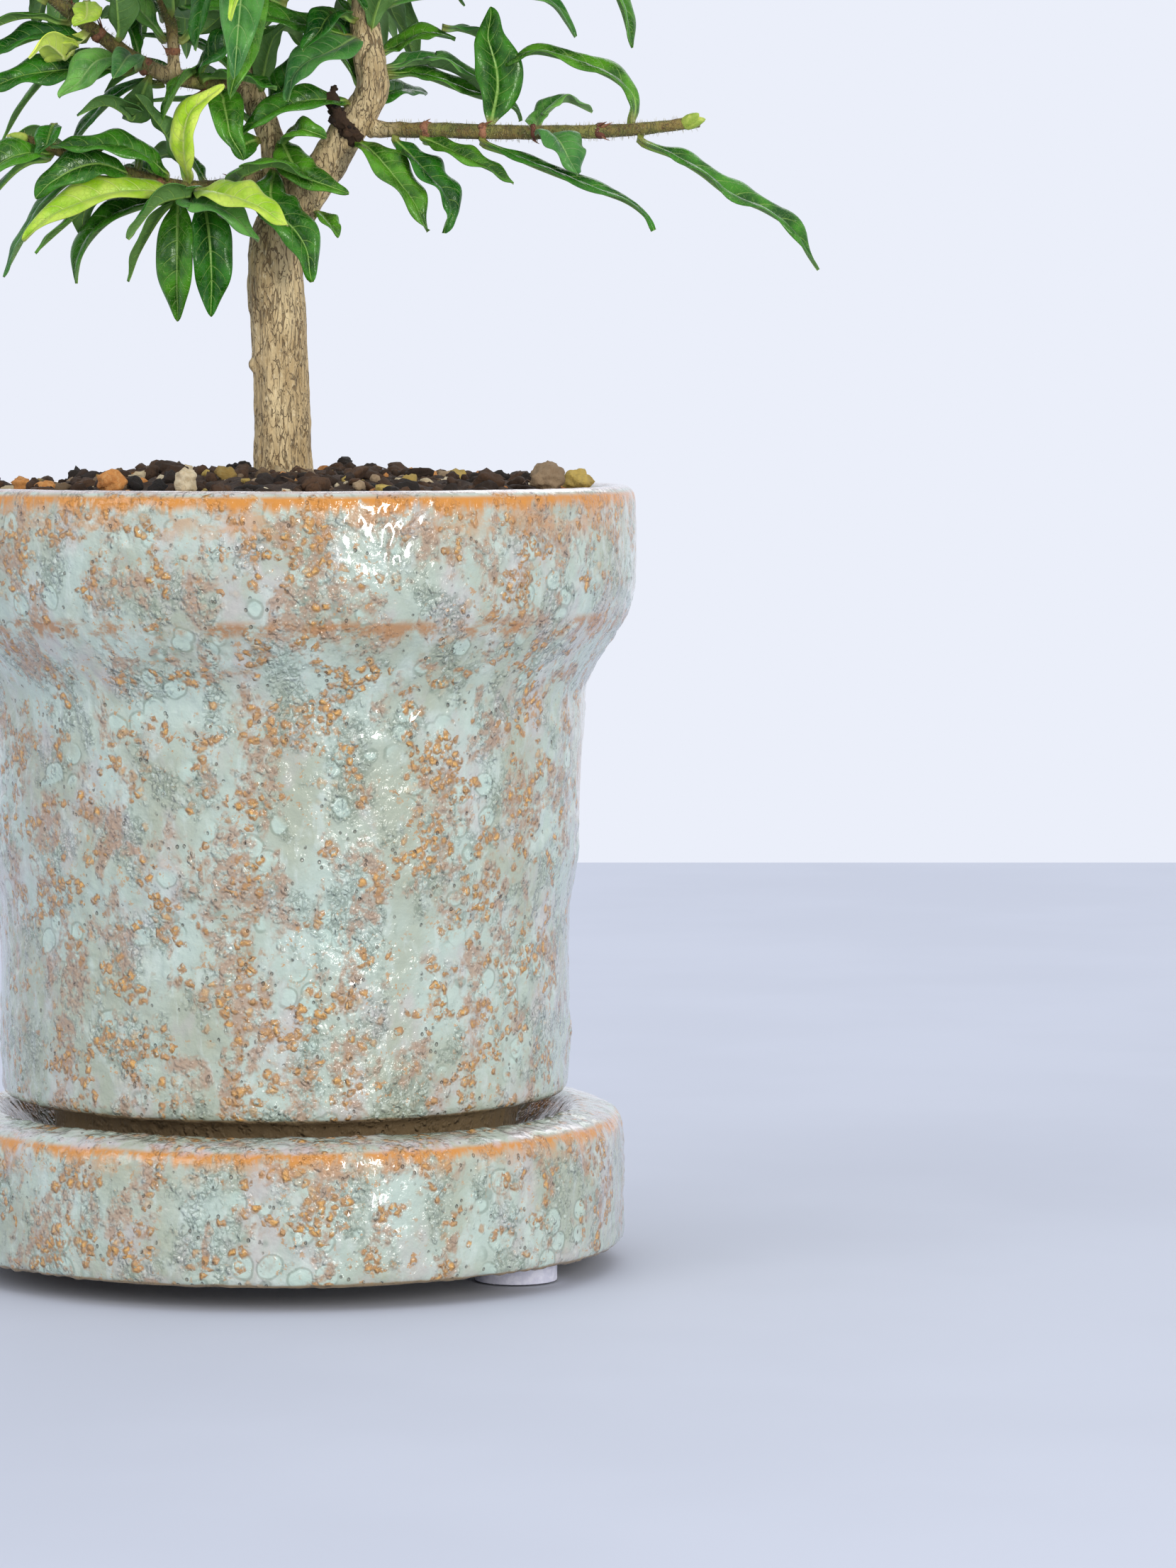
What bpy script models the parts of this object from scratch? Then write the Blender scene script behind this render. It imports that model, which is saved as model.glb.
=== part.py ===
"""Small bonsai tree in a glazed stoneware pot that stands on its own saucer.

Frame: +Z up, the origin on the surface that the saucer's pads stand on, under the pot's axis.
Every size below is in millimetres; heights marked "above rim" count from the pot's rim.
"""

import math

import bmesh
import bpy
from mathutils import Matrix, Vector, noise
from mathutils.bvhtree import BVHTree

MM = 0.001
COLLECTION = "bonsai_tree_in_pot"
GAP = 0.3                    # clearance that touching pieces keep

# Stick-on pads under the saucer
PAD_RADIUS = 6.35
PAD_HEIGHT = 3.3
PAD_ROUND = 0.5
PAD_CIRCLE = 42.0            # radius of the circle that the pads' centres lie on
PAD_ANGLES = [-29.5, 75, 180]    # degrees round from +X

# Saucer
SAUCER_RADIUS = 53.3
SAUCER_HEIGHT = 22.0
SAUCER_SHOULDER = 3.2        # radius of the rounded top edge
SAUCER_CREST_FALL = 0.8      # how far the top face drops before that edge
SAUCER_LIP_WIDTH = 10.0      # from the dish's wall to the outer side
SAUCER_FLOOR = 8.0
SAUCER_DISH_DEPTH = 8.0
SAUCER_RECESS_RADIUS = 33.5  # hollow under the saucer

# Pot
POT_HEIGHT = 95.6            # rim to the lower edge of the wall, without the foot ring
POT_CLEAR = 1.6              # lower edge of the wall above the saucer's crest
RIM_RADIUS = 55.3
NECK_RADIUS = 47.2
BODY_RADIUS = 46.3
BASE_RADIUS = 44.7
COLLAR_HEIGHT = 16.0         # straight upper band, rim to the start of the shoulder
SHOULDER_HEIGHT = 15.5       # from the collar down to the neck
WALL = 4.7
POT_FLOOR = 7.0
LIP_ROUND = 1.7
FOOT_RADIUS = 36.0
FOOT_WIDTH = 4.0
DRAIN_RADIUS = 6.0

# Soil
SOIL_CROWN = 1.6             # soil above the rim in the middle
SOIL_EDGE_DROP = 1.9         # soil below the rim at the wall
ROOT_DEPTH = 14.0            # how far the trunk goes into the soil

# Tree
TRUNK_SCALE = 1.0            # thickness of all the wood
LEAF_THICKNESS = 0.6
LEAF_SCALE = 1.0             # length and width of every leaf
LEAF_SEAT = 0.6              # foot of a leaf to the bark
LEAF_CLEAR = 0.35            # room that a leaf keeps to all other pieces
PETIOLE_WIDTH = 1.3
LEAF_FOLD = 0.2              # rise of each margin over the midrib, as a share of its width

LATHE_SIDES = 40
PAD_SIDES = 20
SPLINE_STEPS = 2

# Levels that follow from the sizes above
SAUCER_BOTTOM = PAD_HEIGHT + GAP
SAUCER_CREST = SAUCER_BOTTOM + SAUCER_HEIGHT
DISH_FLOOR = SAUCER_CREST - SAUCER_DISH_DEPTH
POT_BOTTOM = SAUCER_CREST + POT_CLEAR
RIM = POT_BOTTOM + POT_HEIGHT
FOOT_BOTTOM = DISH_FLOOR + GAP
POT_FLOOR_TOP = POT_BOTTOM + POT_FLOOR

# Colours (linear RGB) and roughness of the materials
MATERIALS = {
    "celadon_glaze": ((0.47, 0.56, 0.50), 0.25),
    "white_pad": ((0.86, 0.86, 0.88), 0.8),
    "potting_mix": ((0.075, 0.05, 0.03), 0.95),
    "pumice": ((0.62, 0.52, 0.36), 0.9),
    "mossy_stone": ((0.42, 0.38, 0.08), 0.9),
    "akadama": ((0.55, 0.27, 0.07), 0.9),
    "crumb": ((0.20, 0.14, 0.09), 0.95),
    "bark": ((0.50, 0.41, 0.28), 0.85),
    "green_twig": ((0.22, 0.20, 0.07), 0.8),
    "mature_leaf": ((0.025, 0.11, 0.025), 0.35),
    "young_leaf": ((0.38, 0.52, 0.06), 0.4),
    "pale_leaf": ((0.14, 0.27, 0.07), 0.4),
}

# Wood: each stem starts on its parent's middle line and is cut back to its bark.
# Points are x, y and height above rim; radii go with the points.
STEMS = {
    "trunk": {
        "parent": None,
        "material": "bark",
        "points": [(0, 0, -ROOT_DEPTH), (0, 0, 0), (-0.2, 0.1, 10), (-0.8, 0, 25.5), (-1.3, 0, 35.5),
                   (-0.2, 0, 40), (3, 0, 44.6), (6.9, 0, 49.9), (12, -0.4, 57.6), (14.2, -0.5, 62.4),
                   (13, 0, 69), (12.8, 1, 75.7), (14.5, 2, 88), (12.5, 1, 100), (13.5, 0, 112)],
        "radii": [5.0, 4.8, 4.55, 4.5, 4.5, 4.2, 3.5, 3.0, 2.75, 2.6, 2.4, 2.2, 1.8, 1.4, 1.0],
    },
    "limb_left": {
        "parent": "trunk",
        "material": "bark",
        "points": [(0, 0, 40.5), (-1.1, 0.5, 46), (-1.6, 1.5, 53.4), (-4.4, 3, 60), (-7, 4.5, 69),
                   (-7.8, 6, 75.7), (-6, 7, 88), (-8, 6, 102)],
        "radii": [2.6, 2.5, 2.3, 2.1, 1.9, 1.7, 1.4, 0.9],
    },
    "twig_right": {
        "parent": "trunk",
        "material": "green_twig",
        "points": [(11, -0.4, 55.4), (19, -2, 55.2), (28, -3, 55), (38, -4, 54.7), (48, -5, 54.8),
                   (56, -5.5, 55.2), (65.1, -6, 56.3)],
        "radii": [1.35, 1.3, 1.25, 1.2, 1.15, 1.05, 0.95],
    },
    "twig_left": {
        "parent": "limb_left",
        "material": "green_twig",
        "points": [(-1.3, 1, 48.5), (-7.8, -2, 46.6), (-14.7, -4, 46.1), (-22.2, -5, 47.9),
                   (-27.8, -6, 49.6), (-34.4, -7, 51.8), (-41, -8, 54)],
        "radii": [1.4, 1.3, 1.2, 1.1, 1.0, 0.95, 0.8],
    },
    "branch_upper_left": {
        "parent": "limb_left",
        "material": "green_twig",
        "points": [(-4.4, 3, 60), (-10, 0, 62.5), (-17.1, -3, 63.3), (-23, -5, 66.1), (-30.1, -7, 71.3),
                   (-35.7, -8, 75.7), (-45, -10, 84), (-54, -12, 92)],
        "radii": [1.6, 1.5, 1.4, 1.3, 1.2, 1.1, 1.0, 0.8],
    },
    "twig_up_left": {
        "parent": "branch_upper_left",
        "material": "green_twig",
        "points": [(-16.5, -2.8, 63.2), (-16.9, -2.5, 67), (-17.2, -2, 71.7), (-18.7, -1, 75.7),
                   (-20.5, 0, 86), (-22, 2, 96)],
        "radii": [1.1, 1.1, 1.0, 0.95, 0.9, 0.75],
    },
    "branch_upper_right": {
        "parent": "trunk",
        "material": "green_twig",
        "points": [(12.9, 1.1, 77), (20, 4, 83), (30, 5, 87), (42, 4, 88.5), (53, 2, 88)],
        "radii": [1.5, 1.4, 1.3, 1.1, 0.85],
    },
    "branch_back": {
        "parent": "trunk",
        "material": "green_twig",
        "points": [(13.1, 1.2, 79), (11, 12, 83), (10, 23, 86), (9, 34, 88), (8, 44, 88.5)],
        "radii": [1.5, 1.4, 1.3, 1.1, 0.85],
    },
    "branch_front": {
        "parent": "limb_left",
        "material": "green_twig",
        "points": [(-7.6, 6.1, 78), (-5, -6, 83), (-3, -18, 86.5), (-2, -30, 88), (-2, -42, 88.5)],
        "radii": [1.4, 1.3, 1.2, 1.05, 0.85],
    },
    "branch_back_left": {
        "parent": "limb_left",
        "material": "green_twig",
        "points": [(-6, 7, 88), (-15, 15, 92), (-26, 24, 94), (-37, 32, 93.5)],
        "radii": [1.25, 1.2, 1.1, 0.85],
    },
    "branch_back_right": {
        "parent": "trunk",
        "material": "green_twig",
        "points": [(14.5, 2, 88), (23, 11, 93), (33, 21, 95.5), (43, 31, 95)],
        "radii": [1.4, 1.3, 1.15, 0.85],
    },
}

# Leaves by stem: place along the stem from 0 to 1, route from the stem's middle line, width,
# turn of the blade about its midrib in degrees, and kind.
LEAVES = {
    "twig_left": [
        (0.35, [(0, -4, 6), (1, -5, 11.5), (6.5, -5, 15.5)], 6.0, 80, "young_leaf"),
        (0.36, [(-10, -6, -1), (-20, -8, -4.5), (-24.5, -8, -8)], 6.5, -30, "young_leaf"),
        (0.32, [(8, -11, -2), (16, -14, -5.5)], 7.0, 25, "young_leaf"),
        (0.37, [(-2, -8, -8.5), (-4, -9, -18.5)], 6.5, 0, "mature_leaf"),
        (0.29, [(0.5, -5, -9), (1, -4, -20)], 7.0, 0, "mature_leaf"),
        (0.42, [(-6, -5, 5.5), (-17.5, -7, 5.5)], 6.5, -45, "mature_leaf"),
        (0.38, [(-10, -3, -5), (-15, -4, -10.5), (-16, -4, -15)], 7.0, -20, "mature_leaf"),
        (0.57, [(-5, -4, 0), (-10, -6, -3.5), (-12, -6, -7.5)], 6.5, -40, "mature_leaf"),
        (0.86, [(-5.5, -5, -1.5), (-12.5, -7, -6)], 6.5, -40, "mature_leaf"),
    ],
    "limb_left": [
        (0.13, [(0, -9, -5), (5, -12, -11), (7, -12, -17)], 7.5, 10, "mature_leaf"),
        (0.20, [(5, -9, -5), (12.5, -11, -7.5)], 6.0, 30, "mature_leaf"),
        (0.22, [(-6, -4, -1), (-9, -6, 7)], 6.0, -60, "mature_leaf"),
    ],
    "trunk": [
        (0.583, [(-9, -6, 1), (-15, -7, -1.5), (-18.5, -7, -5)], 6.0, -40, "mature_leaf"),
        (0.67, [(-4.5, -9, -2), (-10, -12, -5), (-12, -12, -10)], 7.5, -30, "pale_leaf"),
        (0.675, [(-12.5, -6, 2), (-28, -7, 5)], 6.5, -30, "mature_leaf"),
        (0.55, [(5, -7, -4), (10, -9, -10), (13.5, -9, -15)], 6.5, 25, "mature_leaf"),
        (0.715, [(12, 3, 2), (23, 4, 2), (30, 5, 0), (34, 5, -4.5)], 8.0, 35, "pale_leaf"),
        (0.628, [(8, 4, 0), (16, 5, -3), (21.5, 6, -4.5), (23, 6, -7)], 6.5, 30, "mature_leaf"),
        (0.99, [(0.5, 1, 10), (3, 2, 21)], 7.0, 20, "young_leaf"),
    ],
    "twig_right": [
        (0.13, [(3.5, -5, -7.5), (7, -6, -13), (6.5, -6, -17.5)], 6.5, 15, "mature_leaf"),
        (0.21, [(7, -5, -4.5), (15, -6, -8)], 5.0, 25, "mature_leaf"),
        (0.40, [(1, 2.5, 9), (-2, 3, 19)], 7.5, -15, "mature_leaf"),
        (0.38, [(7, -5, -5), (18, -8, -9.5), (24, -8, -12), (26.5, -8, -15.5)], 5.5, 15, "mature_leaf"),
        (0.56, [(1.5, -5, -4), (3, -6, -10.5)], 7.5, 0, "pale_leaf"),
        (0.83, [(8, -3, -6), (15.5, -4, -11.5), (22, -4, -14), (28, -4, -21.5)], 6.5, 15,
         "mature_leaf"),
        (0.81, [(0, 1.5, 5), (-4, 2, 8.5), (-14.5, 3, 12), (-20, 3, 10)], 7.0, -20, "mature_leaf"),
    ],
    "branch_upper_left": [
        (0.18, [(3.5, -4, 6), (9, -6, 12.5)], 7.5, 50, "mature_leaf"),
        (0.34, [(-12, -4, -2), (-23, -6, -4)], 6.5, -30, "mature_leaf"),
        (0.37, [(-4, -7, -2), (-8, -9, -8)], 6.5, -25, "pale_leaf"),
        (0.40, [(1, -3, 6), (0.5, -4, 13)], 7.5, -40, "mature_leaf"),
        (0.47, [(-8, -3, -1.5), (-17, -5, -5.5)], 6.5, -30, "mature_leaf"),
        (0.97, [(-16, -2, 1), (-32.5, -4, -7)], 8.0, 0, "mature_leaf"),
    ],
    "twig_up_left": [
        (0.97, [(-5, 7, 8), (-13, 14, 10)], 7.0, 0, "mature_leaf"),
    ],
    "branch_upper_right": [
        (0.80, [(5.5, -2, -7), (11, -4, -20.5)], 7.0, 0, "mature_leaf"),
        (0.97, [(14, -2, 5), (27, -5, 2)], 8.0, 0, "mature_leaf"),
    ],
    "branch_back": [
        (0.97, [(0, 16, 2), (-1, 32, -3)], 8.0, 0, "mature_leaf"),
    ],
    "branch_front": [
        (0.97, [(1, -16, 2), (1.5, -33.5, -1)], 8.0, 0, "mature_leaf"),
    ],
    "branch_back_left": [
        (0.97, [(-10, 9, 3), (-21, 18, -1)], 7.5, 0, "mature_leaf"),
    ],
    "branch_back_right": [
        (0.97, [(9, 9, 4), (19, 19, 1)], 7.5, 0, "mature_leaf"),
    ],
}

# Largest loose stones on the soil, close behind the front of the rim: x, y, half sizes, turn
STONES = {
    "stone_crumb": ((41.5, -19.0), (3.0, 2.4, 2.3), 30, "crumb"),
    "stone_mossy": ((46.0, -12.0), (2.4, 2.0, 1.8), -10, "mossy_stone"),
    "stone_akadama": ((-24.0, -38.0), (2.2, 1.9, 1.8), 15, "akadama"),
    "stone_pumice": ((-12.5, -44.5), (1.7, 1.6, 2.4), 0, "pumice"),
}


def clear_scene():
    """Remove every object, so that the script starts from nothing."""
    for obj in list(bpy.data.objects):
        bpy.data.objects.remove(obj, do_unlink=True)


def make_collection(name):
    """A new collection in the scene."""
    collection = bpy.data.collections.new(name)
    bpy.context.scene.collection.children.link(collection)
    return collection


def make_materials():
    """One Principled material for each kind of surface."""
    made = {}
    for name, (colour, roughness) in MATERIALS.items():
        material = bpy.data.materials.new(name)
        material.use_nodes = True
        shader = material.node_tree.nodes["Principled BSDF"]
        shader.inputs["Base Color"].default_value = (*colour, 1)
        shader.inputs["Roughness"].default_value = roughness
        shader.inputs["Metallic"].default_value = 0
        material.diffuse_color = (*colour, 1)
        made[name] = material
    return made


def add_object(name, mesh, material, collection, parent):
    """Link a mesh as a named object under the root empty."""
    obj = bpy.data.objects.new(name, mesh)
    obj.data.materials.append(material)
    obj.parent = parent
    collection.objects.link(obj)
    return obj


# Points and outlines -------------------------------------------------------------------------

def spline(points, steps):
    """Smooth curve through the points, with that many steps in each span (Catmull-Rom)."""
    points = [Vector(p) for p in points]
    ends = [2 * points[0] - points[1]] + points + [2 * points[-1] - points[-2]]
    curve = []
    for before, start, stop, after in zip(ends, ends[1:], ends[2:], ends[3:]):
        for step in range(steps):
            t = step / steps
            curve.append(0.5 * (2 * start + t * (stop - before)
                                + t ** 2 * (2 * before - 5 * start + 4 * stop - after)
                                + t ** 3 * (3 * start - before - 3 * stop + after)))
    return curve + [points[-1]]


def arc(centre, radius, first, last, steps):
    """Points (radius, height) on a round corner, angles in degrees from outward to up."""
    points = []
    for step in range(steps + 1):
        angle = math.radians(first + (last - first) * step / steps)
        points.append((centre[0] + radius * math.cos(angle), centre[1] + radius * math.sin(angle)))
    return points


def pot_controls():
    """Points (radius, height) that shape the pot's outer side, from the lip down to the base."""
    collar_end = RIM - COLLAR_HEIGHT
    neck = collar_end - SHOULDER_HEIGHT
    waist = (neck + POT_BOTTOM) / 2
    return [
        (RIM_RADIUS - 0.3, RIM - LIP_ROUND),
        (RIM_RADIUS, RIM - 0.6 * COLLAR_HEIGHT),
        (RIM_RADIUS - 0.4, collar_end),
        (0.76 * RIM_RADIUS + 0.24 * NECK_RADIUS, collar_end - 0.33 * SHOULDER_HEIGHT),
        (0.33 * RIM_RADIUS + 0.67 * NECK_RADIUS, collar_end - 0.68 * SHOULDER_HEIGHT),
        (NECK_RADIUS + 0.2, neck),
        (NECK_RADIUS - 0.1, neck - 5),
        (BODY_RADIUS, 0.4 * neck + 0.6 * waist),
        (BODY_RADIUS - 0.2, waist + 5),
        (BASE_RADIUS + 0.3, waist - 1),
        (BASE_RADIUS, waist - 8),
        (BASE_RADIUS - 0.1, POT_BOTTOM + 1.2),
    ]


def pot_side():
    """Outer side of the pot: a smooth curve through its control points."""
    curve = spline([(radius, z, 0) for radius, z in pot_controls()], SPLINE_STEPS)
    return [(p.x, p.y) for p in curve]


def pot_inner_radius(z):
    """Radius of the pot's inner wall at a height: a wall's thickness inside the control points."""
    side = pot_controls()
    for (upper_r, upper_z), (lower_r, lower_z) in zip(side, side[1:]):
        if lower_z <= z <= upper_z:
            share = (z - lower_z) / (upper_z - lower_z)
            return lower_r + share * (upper_r - lower_r) - WALL
    return (side[0][0] if z > side[0][1] else side[-1][0]) - WALL


def wall_levels():
    """Heights where the inner wall bends, from the floor's corner up to the lip."""
    return [z for _, z in reversed(pot_controls()) if POT_FLOOR_TOP + 4 < z < RIM - 2 * LIP_ROUND]


def soil_height(radius):
    """Height of the soil's top over that radius: a low mound."""
    edge = pot_inner_radius(RIM - SOIL_EDGE_DROP)
    return RIM + SOIL_CROWN - (SOIL_CROWN + SOIL_EDGE_DROP) * (radius / edge) ** 2


# Turned pieces -------------------------------------------------------------------------------

def lathe(name, outline, material, collection, parent, closed, sides=LATHE_SIDES):
    """Turn an outline of (radius, height) round Z; its outer side runs from top to bottom."""
    mesh = bpy.data.meshes.new(name)
    edges = [(i, i + 1) for i in range(len(outline) - 1)]
    if closed:
        edges.append((len(outline) - 1, 0))
    mesh.from_pydata([(r * MM, 0, z * MM) for r, z in outline], edges, [])
    obj = add_object(name, mesh, material, collection, parent)
    screw = obj.modifiers.new("turn", "SCREW")
    screw.steps = sides
    screw.render_steps = sides
    screw.use_merge_vertices = True
    screw.merge_threshold = 0.00002
    screw.use_smooth_shade = True
    return obj


def make_pads(material, collection, parent):
    """Round pads stuck under the saucer."""
    top = arc((PAD_RADIUS - PAD_ROUND, PAD_HEIGHT - PAD_ROUND), PAD_ROUND, 90, 0, 2)
    outline = [(0, PAD_HEIGHT)] + top + [(PAD_RADIUS, 0), (0, 0)]
    for number, degrees in enumerate(PAD_ANGLES):
        angle = math.radians(degrees)
        pad = lathe(f"foot_pad_{number + 1}", outline, material, collection, parent, False, PAD_SIDES)
        pad.location = Vector((math.cos(angle), math.sin(angle), 0)) * PAD_CIRCLE * MM


def make_saucer(material, collection, parent):
    """Shallow dish with a thick round-shouldered wall, hollow underneath."""
    dish_radius = SAUCER_RADIUS - SAUCER_LIP_WIDTH
    shoulder_top = SAUCER_CREST - SAUCER_CREST_FALL
    shoulder = arc((SAUCER_RADIUS - SAUCER_SHOULDER - 0.3, shoulder_top - SAUCER_SHOULDER),
                   SAUCER_SHOULDER, 78, 0, 5)
    recess_top = DISH_FLOOR - SAUCER_FLOOR
    outline = [
        (0, DISH_FLOOR),
        (dish_radius - 3, DISH_FLOOR),
        (dish_radius - 1.2, DISH_FLOOR + 0.6),
        (dish_radius - 0.5, DISH_FLOOR + 2),
        (dish_radius, SAUCER_CREST - 1),
        (dish_radius + 0.8, SAUCER_CREST - 0.2),
        (dish_radius + 2, SAUCER_CREST),
        *shoulder,
        (SAUCER_RADIUS, (SAUCER_CREST + SAUCER_BOTTOM) / 2),
        (SAUCER_RADIUS, SAUCER_BOTTOM + 1.5),
        (SAUCER_RADIUS - 0.3, SAUCER_BOTTOM + 0.5),
        (SAUCER_RADIUS - 0.9, SAUCER_BOTTOM),
        (SAUCER_RECESS_RADIUS + 1, SAUCER_BOTTOM),
        (SAUCER_RECESS_RADIUS, SAUCER_BOTTOM + 0.8),
        (SAUCER_RECESS_RADIUS - 0.4, recess_top),
        (0, recess_top),
    ]
    lathe("saucer", outline, material, collection, parent, False)


def make_pot(material, collection, parent):
    """Round pot with a straight collar, a shoulder, a foot ring and a drain hole."""
    lip_outer = arc((RIM_RADIUS - 0.3 - LIP_ROUND, RIM - LIP_ROUND), LIP_ROUND, 90, 0, 4)
    inner_top = RIM_RADIUS - WALL
    lip_inner = arc((inner_top + LIP_ROUND, RIM - LIP_ROUND), LIP_ROUND, 180, 90, 3)
    inner_wall = [(pot_inner_radius(z), z) for z in wall_levels()]
    floor_radius = pot_inner_radius(POT_FLOOR_TOP)
    foot_inner = FOOT_RADIUS - FOOT_WIDTH
    outline = [
        *lip_outer[:-1],
        *pot_side(),
        (BASE_RADIUS - 0.9, POT_BOTTOM),
        (FOOT_RADIUS + 1, POT_BOTTOM),
        (FOOT_RADIUS + 0.3, POT_BOTTOM - 0.8),
        (FOOT_RADIUS, FOOT_BOTTOM + 0.5),
        (FOOT_RADIUS - 0.5, FOOT_BOTTOM),
        (foot_inner + 0.5, FOOT_BOTTOM),
        (foot_inner, FOOT_BOTTOM + 0.5),
        (foot_inner, POT_BOTTOM),
        (DRAIN_RADIUS, POT_BOTTOM),
        (DRAIN_RADIUS, POT_FLOOR_TOP),
        (floor_radius - 3, POT_FLOOR_TOP),
        (floor_radius - 0.8, POT_FLOOR_TOP + 1),
        *inner_wall,
        *lip_inner[:-1],
    ]
    lathe("pot", outline, material, collection, parent, True)


def make_soil(material, collection, parent):
    """Root-filled soil that fills the pot, with a socket for the foot of the trunk."""
    socket = STEMS["trunk"]["radii"][0] * TRUNK_SCALE + GAP
    socket_floor = RIM - ROOT_DEPTH - GAP
    edge = pot_inner_radius(RIM - SOIL_EDGE_DROP) - GAP
    rings = 7
    surface = []
    for ring in range(rings + 1):
        radius = socket + (edge - socket) * ring / rings
        surface.append((radius, soil_height(radius)))
    edge_top = surface[-1][1]
    levels = [z for z in reversed(wall_levels()) if z < edge_top - 1]
    bottom = POT_FLOOR_TOP + GAP
    floor_radius = pot_inner_radius(POT_FLOOR_TOP) - GAP
    outline = [
        (0, socket_floor),
        (socket, socket_floor),
        *surface,
        *[(pot_inner_radius(z) - GAP, z) for z in levels],
        (floor_radius - 0.8, bottom + 1.2),
        (floor_radius - 3, bottom),
        (0, bottom),
    ]
    lathe("soil", outline, material, collection, parent, False)


def make_stones(materials, collection, parent):
    """Loose stones that lie on the soil."""
    for number, (name, (spot, half, turn, kind)) in enumerate(STONES.items()):
        shape = bmesh.new()
        bmesh.ops.create_icosphere(shape, subdivisions=2, radius=1)
        size = Matrix.Diagonal((*half, 1))
        place = Matrix.Rotation(math.radians(turn), 4, "Z")
        for vertex in shape.verts:
            lump = 1 + 0.22 * noise.noise(vertex.co * 1.6 + Vector((7 * number, 3, 1)))
            vertex.co = place @ (size @ (vertex.co * lump))
        lift = max(soil_height((v.co.xy + Vector(spot)).length) - v.co.z for v in shape.verts)
        for vertex in shape.verts:
            vertex.co = (vertex.co + Vector((*spot, lift + GAP))) * MM
        mesh = bpy.data.meshes.new(name)
        shape.to_mesh(mesh)
        shape.free()
        mesh.shade_smooth()
        add_object(name, mesh, materials[kind], collection, parent)


# Wood ----------------------------------------------------------------------------------------

class Stem:
    """Middle line and thickness of one piece of wood."""

    def __init__(self, spec):
        places = [Vector((x, y, RIM + height)) for x, y, height in spec["points"]]
        self.points = spline(places, 2)
        radii = [(r * TRUNK_SCALE, 0, 0) for r in spec["radii"]]
        self.radii = [p.x for p in spline(radii, 2)]
        steps = [(b - a).length for a, b in zip(self.points, self.points[1:])]
        self.lengths = [0]
        for step in steps:
            self.lengths.append(self.lengths[-1] + step)

    def at(self, share):
        """Point, direction and radius at a share of the whole length."""
        target = share * self.lengths[-1]
        index = 0
        while index < len(self.points) - 2 and self.lengths[index + 1] < target:
            index += 1
        start, stop = self.points[index], self.points[index + 1]
        t = (target - self.lengths[index]) / (self.lengths[index + 1] - self.lengths[index])
        radius = self.radii[index] * (1 - t) + self.radii[index + 1] * t
        return start.lerp(stop, t), (stop - start).normalized(), radius


def tube_mesh(name, stem, extra, bevel_resolution):
    """Closed tube round a stem's middle line, thicker than the stem by extra."""
    curve = bpy.data.curves.new(name, "CURVE")
    curve.dimensions = "3D"
    curve.bevel_depth = MM
    curve.bevel_resolution = bevel_resolution
    curve.use_fill_caps = True
    line = curve.splines.new("POLY")
    line.points.add(len(stem.points) - 1)
    for point, place, radius in zip(line.points, stem.points, stem.radii):
        point.co = (*(place * MM), 1)
        point.radius = radius + extra
    guide = bpy.data.objects.new(name, curve)
    bpy.context.scene.collection.objects.link(guide)
    graph = bpy.context.evaluated_depsgraph_get()
    mesh = bpy.data.meshes.new_from_object(guide.evaluated_get(graph))
    bpy.data.objects.remove(guide)
    bpy.data.curves.remove(curve)
    shape = bmesh.new()
    shape.from_mesh(mesh)
    bmesh.ops.remove_doubles(shape, verts=shape.verts, dist=0.00001)
    bmesh.ops.recalc_face_normals(shape, faces=shape.faces)
    shape.to_mesh(mesh)
    shape.free()
    mesh.name = name
    mesh.shade_smooth()
    return mesh


def make_wood(materials, collection, cutters, parent):
    """The trunk and its branches, each seated on the bark of the one it grows from."""
    stems = {name: Stem(spec) for name, spec in STEMS.items()}
    seats = {}
    for name in {spec["parent"] for spec in STEMS.values()} - {None}:
        mesh = tube_mesh(f"{name}_seat", stems[name], GAP, 3)
        seats[name] = bpy.data.objects.new(f"{name}_seat", mesh)
        seats[name].hide_render = True
        seats[name].display_type = "WIRE"
        cutters.objects.link(seats[name])
    for name, spec in STEMS.items():
        sides = 4 if spec["parent"] is None else 2
        mesh = tube_mesh(name, stems[name], 0, sides)
        obj = add_object(name, mesh, materials[spec["material"]], collection, parent)
        if spec["parent"]:
            cut = obj.modifiers.new("seat", "BOOLEAN")
            cut.operation = "DIFFERENCE"
            cut.solver = "EXACT"
            cut.object = seats[spec["parent"]]
    return stems


# Leaves --------------------------------------------------------------------------------------

LEAF_STATIONS = [0, 0.07, 0.17, 0.31, 0.47, 0.64, 0.80, 0.92]


def leaf_width(share, width):
    """Width of the blade at a share of its length: a stalk, a belly and a drawn-out tip."""
    blade = width * math.sin(math.pi * share ** 0.85) ** 1.2
    return max(PETIOLE_WIDTH * (1 - 0.5 * share), blade)


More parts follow.
